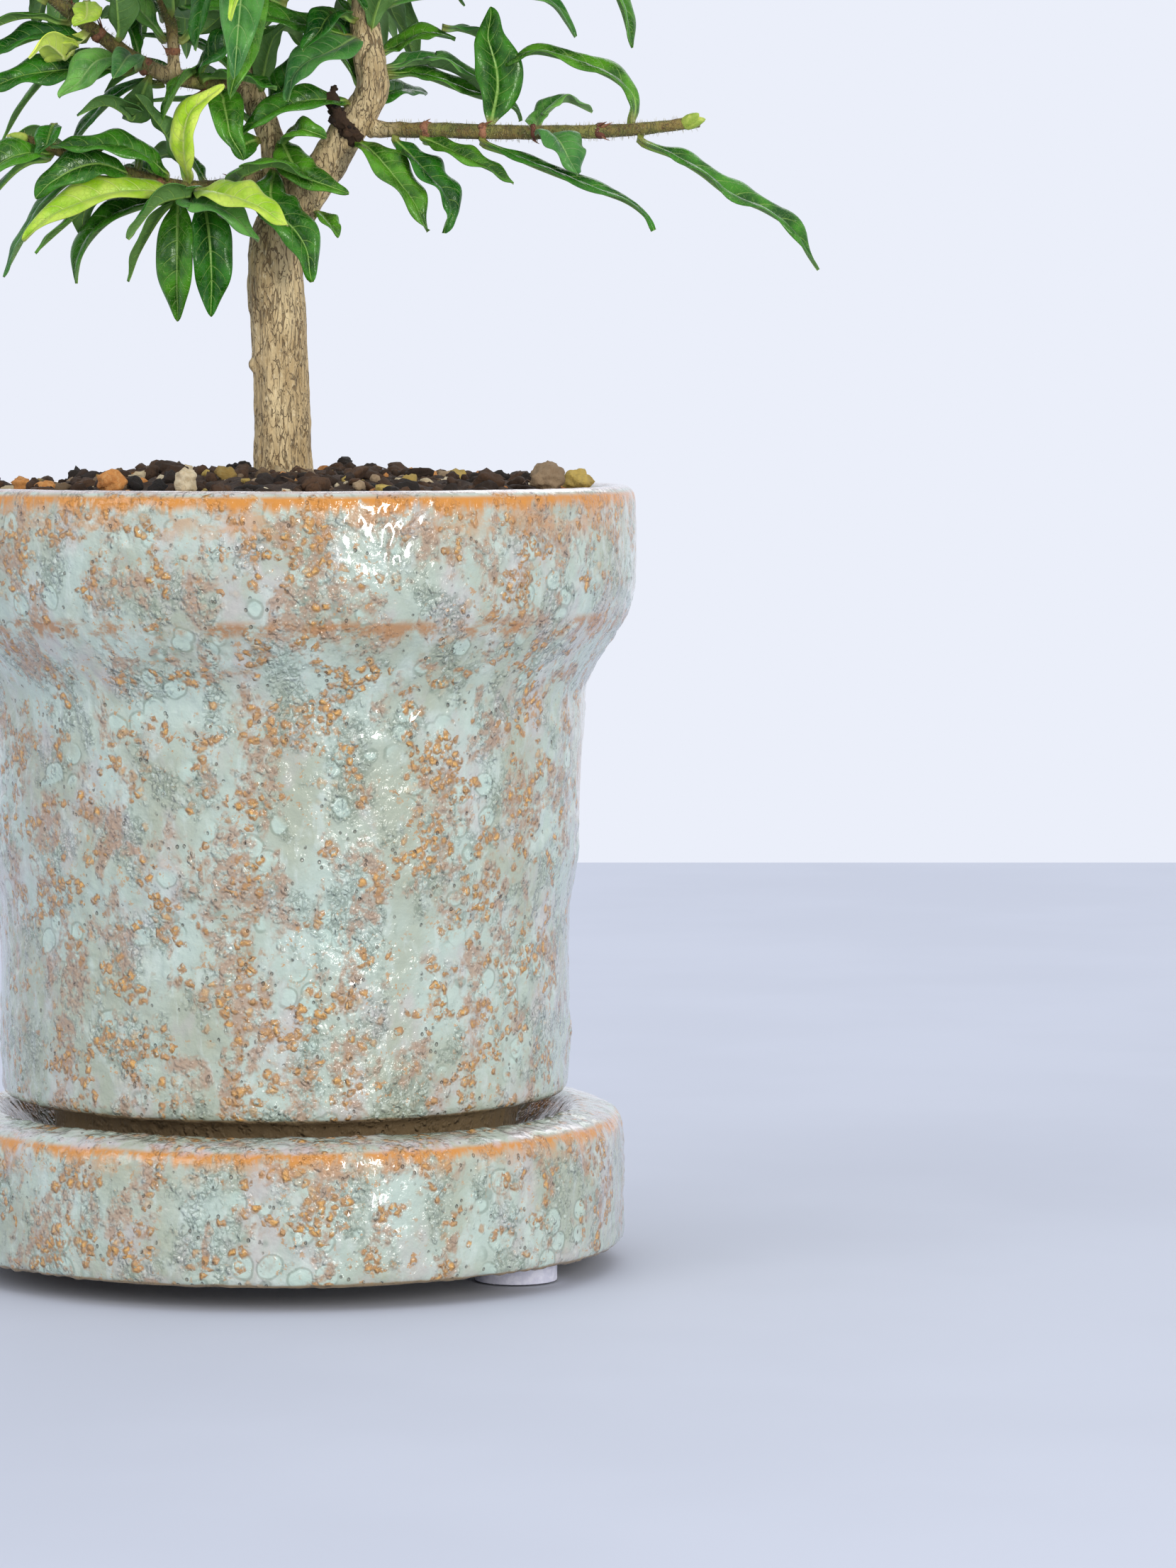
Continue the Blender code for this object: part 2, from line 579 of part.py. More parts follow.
def leaf_solid(base, route, width, turn, thickness, grow):
    """Vertices and faces of a leaf: a folded blade lofted along its midrib."""
    line = spline([base] + route, 6)
    lengths = [0]
    for start, stop in zip(line, line[1:]):
        lengths.append(lengths[-1] + (stop - start).length)
    places = []
    for share in LEAF_STATIONS + [1]:
        target = share * lengths[-1]
        index = min(max(i for i, d in enumerate(lengths) if d <= target + 1e-9), len(line) - 2)
        t = (target - lengths[index]) / (lengths[index + 1] - lengths[index])
        places.append((line[index].lerp(line[index + 1], t), (line[index + 1] - line[index]).normalized()))
    outward = (route[-1] - base) * Vector((1, 1, 0))
    outward = outward.normalized() if outward.length > 1e-6 else Vector((0, -1, 0))
    along = places[0][1]
    drop = math.atan2(-along.z, along.dot(outward))
    normal = Vector((0, 0, math.cos(drop))) + outward * math.sin(drop)
    vertices = []
    for (place, along), share in zip(places[:-1], LEAF_STATIONS):
        normal = (normal - along * normal.dot(along)).normalized()
        face = Matrix.Rotation(math.radians(turn), 3, along) @ normal
        side = along.cross(face)
        half = leaf_width(share, width) / 2 + grow
        rise = face * (half * 2 * LEAF_FOLD)
        vertices += [place - side * half + rise, place + face * thickness / 2,
                     place + side * half + rise, place - face * thickness / 2]
    vertices.append(places[-1][0] + places[-1][1] * grow)
    faces = [(3, 2, 1, 0)]
    for ring in range(0, len(vertices) - 5, 4):
        for corner in range(4):
            after = (corner + 1) % 4
            faces.append((ring + corner, ring + after, ring + 4 + after, ring + 4 + corner))
    last = len(vertices) - 1
    faces += [(last - 4 + corner, last - 4 + (corner + 1) % 4, last) for corner in range(4)]
    return vertices, faces


def leaf_seat(stem, share, route, swing):
    """Foot and route of a leaf that leaves its stem where the swung route points."""
    centre, along, radius = stem.at(share)
    route = [centre + (swing @ Vector(p)) * LEAF_SCALE for p in route]
    heading = route[0] - centre
    heading = heading - along * heading.dot(along)
    if heading.length < 0.3 * (route[0] - centre).length:
        heading = route[0] - centre
    base = centre + heading.normalized() * (radius + LEAF_SEAT)
    return base, route


def swings():
    """Small turns about Z and about a level axis, the smallest first."""
    step = 6
    found = []
    for yaw in range(-8, 9):
        for pitch in range(-5, 6):
            found.append((abs(yaw) + 1.2 * abs(pitch), yaw * step, pitch * step))
    found.sort()
    return [(yaw, pitch) for _, yaw, pitch in found]


def solid_tree(obj, graph):
    """Search tree of an object's evaluated faces, in millimetres."""
    evaluated = obj.evaluated_get(graph)
    mesh = evaluated.to_mesh()
    vertices = [obj.matrix_world @ v.co / MM for v in mesh.vertices]
    tree = BVHTree.FromPolygons(vertices, [tuple(p.vertices) for p in mesh.polygons])
    evaluated.to_mesh_clear()
    return tree


def make_leaves(stems, materials, collection, parent):
    """Every leaf on its stem, swung a little where another piece would be in its way."""
    graph = bpy.context.evaluated_depsgraph_get()
    trees = {obj.name: solid_tree(obj, graph) for obj in collection.objects if obj.type == "MESH"}
    choices = swings()
    for stem_name, leaves in LEAVES.items():
        for number, (share, route, width, turn, kind) in enumerate(leaves):
            name = f"leaf_{stem_name}_{number + 1}"
            across = Vector((-route[-1][1], route[-1][0], 0)).normalized()
            for yaw, pitch in choices:
                swing = Matrix.Rotation(math.radians(yaw), 3, "Z") @ Matrix.Rotation(
                    math.radians(pitch), 3, across)
                base, path = leaf_seat(stems[stem_name], share, route, swing)
                size = width * LEAF_SCALE
                real = leaf_solid(base, path, size, turn, LEAF_THICKNESS, 0)
                wide = leaf_solid(base, path, size, turn, LEAF_THICKNESS + 2 * LEAF_CLEAR, LEAF_CLEAR)
                own = BVHTree.FromPolygons(*real)
                room = BVHTree.FromPolygons(*wide)
                free = not own.overlap(trees[stem_name])
                if free and not any(room.overlap(t) for n, t in trees.items() if n != stem_name):
                    break
            mesh = bpy.data.meshes.new(name)
            mesh.from_pydata([v * MM for v in real[0]], [], real[1])
            mesh.update()
            mesh.shade_smooth()
            add_object(name, mesh, materials[kind], collection, parent)
            trees[name] = own


def main():
    """Build the whole object."""
    clear_scene()
    collection = make_collection(COLLECTION)
    cutters = make_collection("cutters")
    materials = make_materials()
    root = bpy.data.objects.new("bonsai_root", None)
    collection.objects.link(root)
    make_pads(materials["white_pad"], collection, root)
    make_saucer(materials["celadon_glaze"], collection, root)
    make_pot(materials["celadon_glaze"], collection, root)
    make_soil(materials["potting_mix"], collection, root)
    make_stones(materials, collection, root)
    stems = make_wood(materials, collection, cutters, root)
    bpy.context.view_layer.update()
    make_leaves(stems, materials, collection, root)


main()
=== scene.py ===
"""Looks of the small bonsai tree in its glazed pot: fine surfaces, leaves, soil, light and camera.

Lengths are in millimetres unless a name says otherwise, and MM turns them into metres.
"""

import math
import random

import bmesh
import bpy
import numpy as np
from mathutils import Matrix, Vector, noise
from mathutils.bvhtree import BVHTree


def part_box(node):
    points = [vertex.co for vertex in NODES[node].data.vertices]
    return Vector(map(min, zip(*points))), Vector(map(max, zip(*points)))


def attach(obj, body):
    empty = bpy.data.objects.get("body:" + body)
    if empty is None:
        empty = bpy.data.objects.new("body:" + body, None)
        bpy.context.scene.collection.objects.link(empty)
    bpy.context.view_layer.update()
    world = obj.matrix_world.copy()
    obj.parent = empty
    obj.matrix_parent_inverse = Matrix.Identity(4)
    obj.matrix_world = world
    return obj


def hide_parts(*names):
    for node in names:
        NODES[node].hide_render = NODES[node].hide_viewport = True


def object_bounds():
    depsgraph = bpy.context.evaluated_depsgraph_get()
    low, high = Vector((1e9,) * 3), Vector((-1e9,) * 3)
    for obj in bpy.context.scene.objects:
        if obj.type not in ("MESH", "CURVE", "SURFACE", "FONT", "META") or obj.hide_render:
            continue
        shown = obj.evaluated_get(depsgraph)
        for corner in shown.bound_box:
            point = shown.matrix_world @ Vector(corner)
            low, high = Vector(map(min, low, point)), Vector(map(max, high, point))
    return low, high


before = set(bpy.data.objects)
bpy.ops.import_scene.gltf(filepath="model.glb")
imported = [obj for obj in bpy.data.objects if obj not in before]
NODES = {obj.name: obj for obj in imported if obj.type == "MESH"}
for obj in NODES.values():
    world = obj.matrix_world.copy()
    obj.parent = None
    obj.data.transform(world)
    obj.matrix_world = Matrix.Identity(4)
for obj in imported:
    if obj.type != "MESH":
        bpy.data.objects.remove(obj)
CAD_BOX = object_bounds()

MM = 0.001


def level(node, end):
    """Lowest (0) or highest (1) point of a CAD node, in millimetres."""
    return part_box(node)[end][2] / MM


RIM = level("pot", 1)
WALL_HEIGHT = 95.6           # of the pot's side, from its lowest edge to the rim
POT_BASE = RIM - WALL_HEIGHT
SAUCER_TOP = level("saucer", 1)
SAUCER_BOTTOM = level("saucer", 0)
RIM_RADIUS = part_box("pot")[1][0] / MM
SAUCER_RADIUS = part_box("saucer")[1][0] / MM
TREE_TOP = CAD_BOX[1][2] / MM

# Surfaces
OUTER_STEP = 0.74            # spacing of points on the glazed sides that show
HIDDEN_STEP = 3.0
SOIL_STEP = 0.6
SOIL_ZONE = 4.2              # depth of the soil's uneven top
SOIL_CALM = (47.5, 50.3)     # its lumps fade out between these radii
TRUNK_ROOM = 5.5             # radius under the trunk where nothing shows
GRAIN_REACH = 48.6           # grains lie within this radius
TURNS = 560                  # points round the pot
WOOD_VOXEL = 0.27
LEAF_ROWS = 46
LEAF_COLUMNS = 8             # from the midrib to each margin
CAD_LEAF_THICK = 0.6         # of the CAD leaves at the midrib
SIDE_VEINS = 9.0
BEAD_SIZE = 1.35             # of the rust's beads in the glaze

# Camera: far away with a long lens, a little above the rim
LENS = 136.7
CAMERA_PLACE = (47.7, -935.0, RIM + 17.4)
CAMERA_TILT = 3.95
TABLE_EDGE = 768.0


# Points and curves ---------------------------------------------------------------------------

def smooth_curve(points, steps):
    """Catmull-Rom curve through the rows of an array."""
    points = np.asarray(points, float)
    ends = np.vstack([2 * points[0] - points[1], points, 2 * points[-1] - points[-2]])
    t = (np.arange(steps) / steps)[:, None]
    curve = []
    for a, b, c, d in zip(ends, ends[1:], ends[2:], ends[3:]):
        curve.append(0.5 * (2 * b + t * (c - a) + t ** 2 * (2 * a - 5 * b + 4 * c - d)
                            + t ** 3 * (3 * b - a - 3 * c + d)))
    return np.vstack(curve + [points[-1:]])


def path_lengths(points):
    """Distance along a polyline at each of its points."""
    return np.concatenate([[0], np.cumsum(np.linalg.norm(np.diff(points, axis=0), axis=1))])


def resample(points, shares):
    """Rows of an array at shares of its length, straight between the points."""
    lengths = path_lengths(points)
    lengths = lengths / lengths[-1]
    return np.column_stack([np.interp(shares, lengths, points[:, k]) for k in range(points.shape[1])])


def unit(vectors):
    """Rows scaled to length 1."""
    return vectors / np.maximum(np.linalg.norm(vectors, axis=-1, keepdims=True), 1e-9)


def ripple(point, size, seed=0.0):
    """Smooth noise from -1 to 1 whose features are about that size."""
    return noise.noise(Vector(point) / size + Vector((seed, 1.7 * seed, 0.3)))


def step_up(value, low, high):
    """0 below low, 1 above high, smooth between."""
    t = np.clip((value - low) / (high - low), 0, 1)
    return t * t * (3 - 2 * t)


# Meshes --------------------------------------------------------------------------------------

def new_object(name, data):
    """An object that is linked to the scene."""
    obj = bpy.data.objects.new(name, data)
    bpy.context.scene.collection.objects.link(obj)
    return obj


def add_piece(name, vertices, faces, material):
    """A mesh object from points in millimetres."""
    mesh = bpy.data.meshes.new(name)
    mesh.from_pydata((np.asarray(vertices, float) * MM).tolist(), [], faces)
    mesh.update()
    mesh.shade_smooth()
    mesh.materials.append(material)
    return new_object(name, mesh)


def set_attribute(mesh, name, values):
    """A number at each vertex, for the shader."""
    attribute = mesh.attributes.new(name, "FLOAT", "POINT")
    attribute.data.foreach_set("value", np.asarray(values, np.float32))


def finish_piece(obj, slot, *nodes):
    """The piece rides on the only body, and may stand for CAD nodes, which it hides; slot is not used."""
    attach(obj, "root")
    if nodes:
        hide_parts(*nodes)
    return obj


def cad_mesh(node):
    """Points of a CAD node in millimetres, with equal ones merged, and its triangles."""
    obj = NODES[node]
    mesh = obj.data
    places = {}
    points = []
    index = []
    for vertex in mesh.vertices:
        place = obj.matrix_world @ vertex.co / MM
        key = tuple(round(c, 3) for c in place)
        if key not in places:
            places[key] = len(points)
            points.append(place)
        index.append(places[key])
    faces = [tuple(index[v] for v in polygon.vertices) for polygon in mesh.polygons]
    return np.array(points), [f for f in faces if len(set(f)) == len(f)]


def neighbours_of(count, faces):
    """For each point, the points that share an edge with it."""
    near = [set() for _ in range(count)]
    for face in faces:
        for a, b in zip(face, face[1:] + face[:1]):
            near[a].add(b)
            near[b].add(a)
    return near


def search_tree(vertices, faces):
    """Search tree of a mesh."""
    return BVHTree.FromPolygons([Vector(v) for v in vertices], faces)


def line_at(line, share, step):
    """Place at a share of a line, and the way it runs there."""
    place = resample(line, [share])[0]
    return place, unit(resample(line, [min(share + step, 1)])[0] - resample(line, [share - step])[0])


def scatter(rng):
    """Three normal random numbers."""
    return np.array([rng.gauss(0, 1) for _ in range(3)])


class Lump:
    """Collects many small closed shapes into one mesh."""

    def __init__(self):
        self.vertices = []
        self.faces = []
        self.tints = []

    def add(self, vertices, faces, tint=0.5):
        """Add one closed shape, all of one tint."""
        start = len(self.vertices)
        self.vertices += [tuple(v) for v in vertices]
        self.faces += [tuple(start + i for i in face) for face in faces]
        self.tints += [tint] * len(vertices)

    def make(self, name, material):
        """The joined piece."""
        obj = add_piece(name, self.vertices, self.faces, material)
        set_attribute(obj.data, "tint", self.tints)
        return obj


def ball(subdivisions):
    """Points and faces of a round ball of radius 1."""
    shape = bmesh.new()
    bmesh.ops.create_icosphere(shape, subdivisions=subdivisions, radius=1)
    shape.verts.ensure_lookup_table()
    vertices = np.array([v.co for v in shape.verts])
    faces = [tuple(v.index for v in f.verts) for f in shape.faces]
    shape.free()
    return vertices, faces


def tube(points, radii, sides=6, flat=1.0):
    """Closed tube round a polyline; flat below 1 squashes it across."""
    points = np.asarray(points, float)
    along = unit(np.gradient(points, axis=0))
    up = np.array([0.3, 0.2, 1.0]) if abs(along[0][2]) < 0.8 else np.array([1.0, 0.2, 0.1])
    vertices = []
    for place, way, radius in zip(points, along, radii):
        side = unit(np.cross(way, up))
        up = np.cross(side, way)
        for k in range(sides):
            angle = 2 * math.pi * k / sides
            vertices.append(place + radius * (math.cos(angle) * side + flat * math.sin(angle) * up))
    faces = [tuple(reversed(range(sides)))]
    for ring in range(len(points) - 1):
        for k in range(sides):
            a, b = ring * sides + k, ring * sides + (k + 1) % sides
            faces.append((a, b, b + sides, a + sides))
    faces.append(tuple(range(len(vertices) - sides, len(vertices))))
    return vertices, faces


# Materials -----------------------------------------------------------------------------------

class Shader:
    """A material built in short calls: sockets are passed about, and paint() lays colour on."""

    def __init__(self, name, ground=None):
        self.material = bpy.data.materials.new(name)
        self.material.use_nodes = True
        self.tree = self.material.node_tree
        self.coords = self.tree.nodes.new("ShaderNodeTexCoord").outputs["Object"]
        self.colour = ground

    def plug(self, socket, value):
        """Link or set an input."""
        if isinstance(value, bpy.types.NodeSocket):
            self.tree.links.new(value, socket)
        elif isinstance(value, tuple) and len(value) == 3 and socket.type == "RGBA":
            socket.default_value = (*value, 1)
        else:
            socket.default_value = value

    def node(self, kind, output, inputs, **settings):
        """Add a node with its settings and inputs, and return one of its outputs."""
        node = self.tree.nodes.new("ShaderNode" + kind)
        for name, value in settings.items():
            setattr(node, name, value)
        for key, value in inputs.items():
            self.plug(node.inputs[key], value)
        return node.outputs[output]

    def stretched(self, x, y, z):
        """Object coordinates in millimetres, multiplied along each axis."""
        return self.node("VectorMath", 0, {0: self.coords, 1: (x / MM, y / MM, z / MM)},
                         operation="MULTIPLY")

    def height(self):
        """Height above the table in millimetres."""
        return self.node("SeparateXYZ", 2, {0: self.stretched(1, 1, 1)})

    def attribute(self, name):
        """A number stored on the mesh."""
        return self.node("Attribute", "Fac", {}, attribute_name=name)

    def noise(self, size, detail=3.0, rough=0.5, stretch=(1, 1, 1), bend=0.0, where=None):
        """Cloudy noise from about 0 to 1 with features of that size."""
        where = self.stretched(*stretch) if where is None else where
        return self.node("TexNoise", "Fac", {"Vector": where, "Scale": 1 / size, "Detail": detail,
                                             "Roughness": rough, "Distortion": bend})

    def warped(self, size, reach):
        """Coordinates in millimetres, pushed about by clouds of that size to bend the cells."""
        plain = self.stretched(1, 1, 1)
        cloud = self.node("TexNoise", "Color", {"Vector": plain, "Scale": 1 / size})
        return self.node("VectorMath", 0, {0: cloud, 1: (reach, reach, reach), 2: plain},
                         operation="MULTIPLY_ADD")

    def cells(self, size, output="Distance", feature="F1", stretch=(1, 1, 1), where=None):
        """Voronoi cells of that size."""
        where = self.stretched(*stretch) if where is None else where
        return self.node("TexVoronoi", output, {"Vector": where, "Scale": 1 / size}, feature=feature)

    def math(self, operation, first, *others):
        """Arithmetic on two values, or on one value after another."""
        for other in others or (0.0,):
            first = self.node("Math", 0, {0: first, 1: other}, operation=operation)
        return first

    def times(self, *factors):
        """Product of values."""
        return self.math("MULTIPLY", *factors)

    def off(self, value, middle):
        """How far a value lies from a middle one."""
        return self.math("ABSOLUTE", self.math("SUBTRACT", value, middle))

    def fade(self, value, low, high, out_low=0.0, out_high=1.0):
        """Smooth step of a value between two limits."""
        return self.node("MapRange", "Result",
                         {"Value": value, "From Min": low, "From Max": high, "To Min": out_low,
                          "To Max": out_high}, interpolation_type="SMOOTHSTEP")

    def blend(self, share, first, second):
        """Mix two colours."""
        return self.node("Mix", "Result", {"Factor": share, "A": first, "B": second},
                         data_type="RGBA")

    def paint(self, tone, *shares):
        """Lay a tone over the colour so far, as thick as the product of the shares."""
        self.colour = self.blend(self.times(*shares) if len(shares) > 1 else shares[0],
                                 self.colour, tone)

    def bump(self, height, distance, strength=1.0, **after):
        """Fine relief, on top of another normal if one is given; distance is in millimetres."""
        return self.node("Bump", "Normal", {"Strength": strength, "Distance": distance * MM,
                                            "Height": height, **after})

    def finish(self, roughness, normal, **settings):
        """Plug the results into the surface; settings go on its own sockets."""
        surface = self.tree.nodes["Principled BSDF"]
        settings.update(Base_Color=self.colour, Roughness=roughness, Normal=normal)
        for name, value in settings.items():
            self.plug(surface.inputs[name.replace("_", " ")], value)
        return self.material


def rgb(red, green, blue):
    """Linear colour from the 0 to 255 numbers of a colour chart."""
    def linear(channel):
        share = channel / 255
        return share / 12.92 if share <= 0.04045 else ((share + 0.055) / 1.055) ** 2.4
    return (linear(red), linear(green), linear(blue))


def glaze_material(name, bands, lip_height, bare_height):
    """Crawled celadon glaze with rust specks; bands are heights where the rust breaks through, or where a
    pale band is painted as a highlight along an edge.
    """
    s = Shader(name, rgb(166, 173, 152))
    z = s.height()
    wobbly = s.warped(2.0, 2.0)
    bead = s.cells(BEAD_SIZE, where=wobbly)
    bead_place = s.cells(BEAD_SIZE, "Position", where=wobbly)
    bead_chance = s.cells(BEAD_SIZE, "Color", where=wobbly)
    dome = s.fade(bead, 0.60, 0.05)
    valley = s.fade(s.cells(BEAD_SIZE, feature="DISTANCE_TO_EDGE", where=wobbly), 0.15, 0.0)
    small_dome = s.fade(s.cells(0.7, stretch=(1, 1, 0.9)), 0.55, 0.05)
    # ground: grey green, greyer and lilac in clouds, with pale upright runs
    s.paint(rgb(180, 195, 182), s.fade(s.noise(13.0, 3, stretch=(1, 1, 0.7)), 0.36, 0.64))
    s.paint(rgb(190, 182, 178), s.fade(s.noise(8.0, 3, 0.6, (1, 1, 0.6)), 0.48, 0.68, 0, 0.7))
    s.paint(rgb(200, 211, 202), s.fade(s.noise(2.6, 4, 0.6, (1, 1, 0.45), 0.5), 0.50, 0.68, 0, 0.5))
    # thin glaze shows dark teal round the beads, thickly so in some places
    thin_zone = s.fade(s.noise(6.0, 4, 0.62, (1, 1, 0.7)), 0.49, 0.60)
    blotch = s.fade(s.noise(1.7, 3, 0.6), 0.56, 0.66)
    outline = s.fade(s.off(s.noise(2.0, 2, 0.5, bend=0.8), 0.5), 0.045, 0.010)
    s.paint(rgb(84, 98, 78), thin_zone, s.math("MAXIMUM", valley, outline, blotch), 0.5)
    # round pale pools with a thin dark rim
    pool_zone = s.fade(s.noise(15.0, 2), 0.50, 0.56)
    pool = s.cells(4.6, where=s.warped(5.0, 2.0))
    s.paint(rgb(186, 206, 192), s.fade(pool, 0.40, 0.34, 0, 0.7), pool_zone)
    s.paint(rgb(108, 124, 106), s.fade(s.off(pool, 0.40), 0.06, 0.015, 0, 0.45), pool_zone)
    # pale specks: painted reflections of the bright room in the glaze's beads
    s.paint(rgb(214, 224, 212), s.fade(s.noise(0.9, 3, 0.6), 0.60, 0.67), thin_zone, 0.6)
    # rust: golden beads in clusters, on lilac brown clouds
    cluster = s.noise(7.0, 4, 0.62, (1, 1, 0.7), 0.4)
    s.paint(rgb(168, 134, 106), s.fade(cluster, 0.52, 0.61),
            s.fade(s.noise(1.8, 4, 0.65), 0.36, 0.56), 0.8)
    nearby = s.noise(7.0, 4, 0.62, bend=0.4, where=bead_place)
    chosen = s.fade(s.math("ADD", nearby, s.times(bead_chance, 0.10)), 0.585, 0.62)
    bead_tone = s.blend(s.fade(bead, 0.60, 0.10), rgb(150, 106, 58), rgb(222, 166, 80))
    bead_tone = s.blend(s.fade(bead_chance, 0.45, 0.75, 0, 0.6), bead_tone, rgb(168, 128, 88))
    s.paint(bead_tone, chosen, s.fade(bead, 0.74, 0.42), s.fade(s.noise(0.8, 3), 0.34, 0.50), 0.95)
    s.paint(rgb(186, 138, 84), s.fade(s.noise(1.2, 5, 0.7), 0.58, 0.63),
            s.fade(s.noise(9.0, 2), 0.44, 0.60), 0.8)
    # dark pits where the glaze has drawn back
    pit = s.times(s.fade(s.cells(1.3, stretch=(1, 1, 0.8)), 0.24, 0.12),
                  s.fade(s.noise(3.6, 3, 0.6), 0.50, 0.60))
    s.paint(rgb(92, 76, 52), pit, 0.6)
    # bands along edges and the bend of the shoulder: rust, and on the saucer a pale band painted as the
    # highlight on its rounded edge; their lower side is ragged
    ragged = s.math("ADD", s.fade(s.noise(4.0, 3, 0.6, (1, 1, 0.1)), 0.30, 0.70, 0, 1.3),
                    s.fade(s.noise(1.3, 3, 0.6, (1, 1, 0.2)), 0.40, 0.75, 0, 1.6))
    for centre, above, below, strength, gaps, tone in bands:
        rise = s.math("SUBTRACT", z, centre)
        lower = s.fade(s.math("SUBTRACT", rise, ragged), -below - 1.6, -below * 0.5)
        broken = s.fade(s.noise(3.6, 4, 0.65, (0.6, 0.6, 1)), gaps, gaps + 0.12, 0.1, 1)
        s.paint(tone, s.fade(rise, above, above * 0.3), lower, broken, strength)
    # the lip runs thin and pale above its band; its pale lilac tone is also a painted highlight along the
    # rim
    lip_edge = s.math("ADD", z, s.times(s.noise(2.5, 3), 0.5))
    s.paint(rgb(218, 202, 200), s.fade(lip_edge, lip_height, lip_height + 0.5, 0, 0.85))
    # bare clay along the lowest edge
    bare = s.fade(s.math("ADD", z, s.times(s.noise(5.0, 3), 0.8)), bare_height + 1.2, bare_height + 0.8)
    s.paint(rgb(140, 118, 84), bare)
    roughness = s.math("ADD", s.fade(s.noise(0.9, 3, 0.6), 0.3, 0.7, 0.12, 0.24), s.times(bare, 0.5))
    busy = s.math("MAXIMUM", thin_zone, s.fade(cluster, 0.54, 0.60), chosen)
    relief = s.times(s.math("ADD", dome, s.times(small_dome, 0.5)), busy)
    normal = s.bump(s.math("SUBTRACT", relief, s.times(pit, 0.9)), 0.34)
    normal = s.bump(s.noise(2.0, 3, 0.5), 0.60, 0.8, Normal=normal)
    return s.finish(roughness, normal, Coat_Weight=0.8, Coat_Roughness=0.03)


def leaf_material(name, dark, light, vein, under, shine, sheen):
    """Leaf blade with a pale midrib, side veins and a duller underside."""
    s = Shader(name, dark)
    along, below, tint = s.attribute("along"), s.attribute("below"), s.attribute("tint")
    across = s.math("ABSOLUTE", s.attribute("across"))
    aside = s.math("ABSOLUTE", s.attribute("aside"))
    sweep = s.times(s.math("POWER", across, 1.35), 1.5)
    phase = s.math("FRACT", s.math("SUBTRACT", s.times(along, SIDE_VEINS), sweep))
    width = s.fade(across, 0.0, 1.0, 0.075, 0.03)
    veins = s.times(s.fade(s.math("DIVIDE", s.off(phase, 0.5), width), 1.0, 0.35),
                    s.fade(across, 0.93, 0.70), s.fade(along, 0.06, 0.16), s.fade(along, 0.97, 0.85))
    rib = s.fade(s.math("DIVIDE", aside, s.fade(along, 0.0, 1.0, 0.34, 0.09)), 1.0, 0.45)
    mesh_veins = s.fade(s.cells(0.75, feature="DISTANCE_TO_EDGE"), 0.06, 0.0)
    s.paint(light, s.fade(s.noise(4.0, 3), 0.35, 0.68))
    s.paint(light, s.fade(across, 0.55, 1.0, 0.0, 0.35))
    s.paint(vein, mesh_veins, 0.16)
    s.colour = s.node("HueSaturation", "Color", {"Color": s.colour,
                                                 "Hue": s.fade(tint, 0.0, 1.0, 0.515, 0.480),
                                                 "Value": s.fade(tint, 0.0, 1.0, 0.80, 1.55)})
    s.paint(vein, veins, 0.42)
    s.paint(vein, rib, 0.88)
    s.paint(s.blend(s.math("MAXIMUM", s.times(veins, 0.5), rib), under, vein), below)
    s.paint(rgb(140, 140, 70), s.fade(along, 0.10, 0.03), 0.8)
    roughness = s.math("ADD", s.fade(s.noise(2.0, 3), 0.3, 0.7, shine, shine + 0.10),
                       s.times(below, 0.25))
    relief = s.math("ADD", s.times(veins, -0.8), s.times(mesh_veins, -0.3))
    normal = s.bump(s.noise(0.6, 3), 0.10, 0.6, Normal=s.bump(relief, 0.10))
    return s.finish(roughness, normal, Sheen_Weight=sheen, Sheen_Roughness=0.4,
                    Sheen_Tint=(0.9, 1.0, 0.9), Specular_IOR_Level=0.46,
                    Specular_Tint=(0.85, 1.0, 0.75), Subsurface_Weight=0.12,
                    Subsurface_Radius=(0.6, 1.0, 0.3), Subsurface_Scale=0.6 * MM)


def bark_material(name):
    """Pale corky bark with long wavy fissures, turning to green on the young wood."""
    s = Shader(name, rgb(194, 168, 122))
    lines = []
    for size, thin, squash in ((1.35, 0.022, 0.20), (0.85, 0.016, 0.26), (2.2, 0.012, 0.24)):
        lines.append(s.fade(s.off(s.noise(size, 2, 0.5, (1, 1, squash), 0.6), 0.5), thin, thin * 0.25))
    fissure = s.times(s.math("MAXIMUM", *lines), s.fade(s.noise(1.8, 3, 0.6, (1, 1, 0.5)), 0.34, 0.50))
    s.paint(rgb(222, 198, 150), s.fade(s.noise(5.0, 3, stretch=(1, 1, 0.4)), 0.35, 0.65))
    s.paint(rgb(166, 138, 92), s.fade(s.noise(1.2, 4, 0.6, (1, 1, 0.25)), 0.44, 0.66, 0, 0.6))
    s.paint(rgb(236, 218, 178), s.fade(s.noise(0.6, 3, 0.6, (1, 1, 0.5)), 0.56, 0.70, 0, 0.5))
    s.paint(rgb(104, 78, 44), fissure, 0.8)
    s.paint(rgb(112, 86, 52), s.fade(s.attribute("crack"), 0.3, 0.9, 0, 0.45))
    twig = s.blend(s.fade(s.noise(2.4, 4, 0.6, (0.4, 1, 1)), 0.38, 0.62), rgb(100, 98, 44),
                   rgb(138, 118, 62))
    twig = s.blend(s.fade(s.noise(0.8, 4, 0.7), 0.50, 0.64, 0, 0.75), twig, rgb(100, 70, 40))
    twig = s.blend(s.fade(s.noise(6.0, 2), 0.50, 0.66, 0, 0.5), twig, rgb(140, 150, 70))
    s.paint(twig, s.attribute("green"))
    relief = s.math("SUBTRACT", s.noise(0.7, 4, 0.6, (1, 1, 0.6)), s.times(fissure, 1.2))
    return s.finish(0.82, s.bump(relief, 0.34, 0.95), Sheen_Weight=0.08)


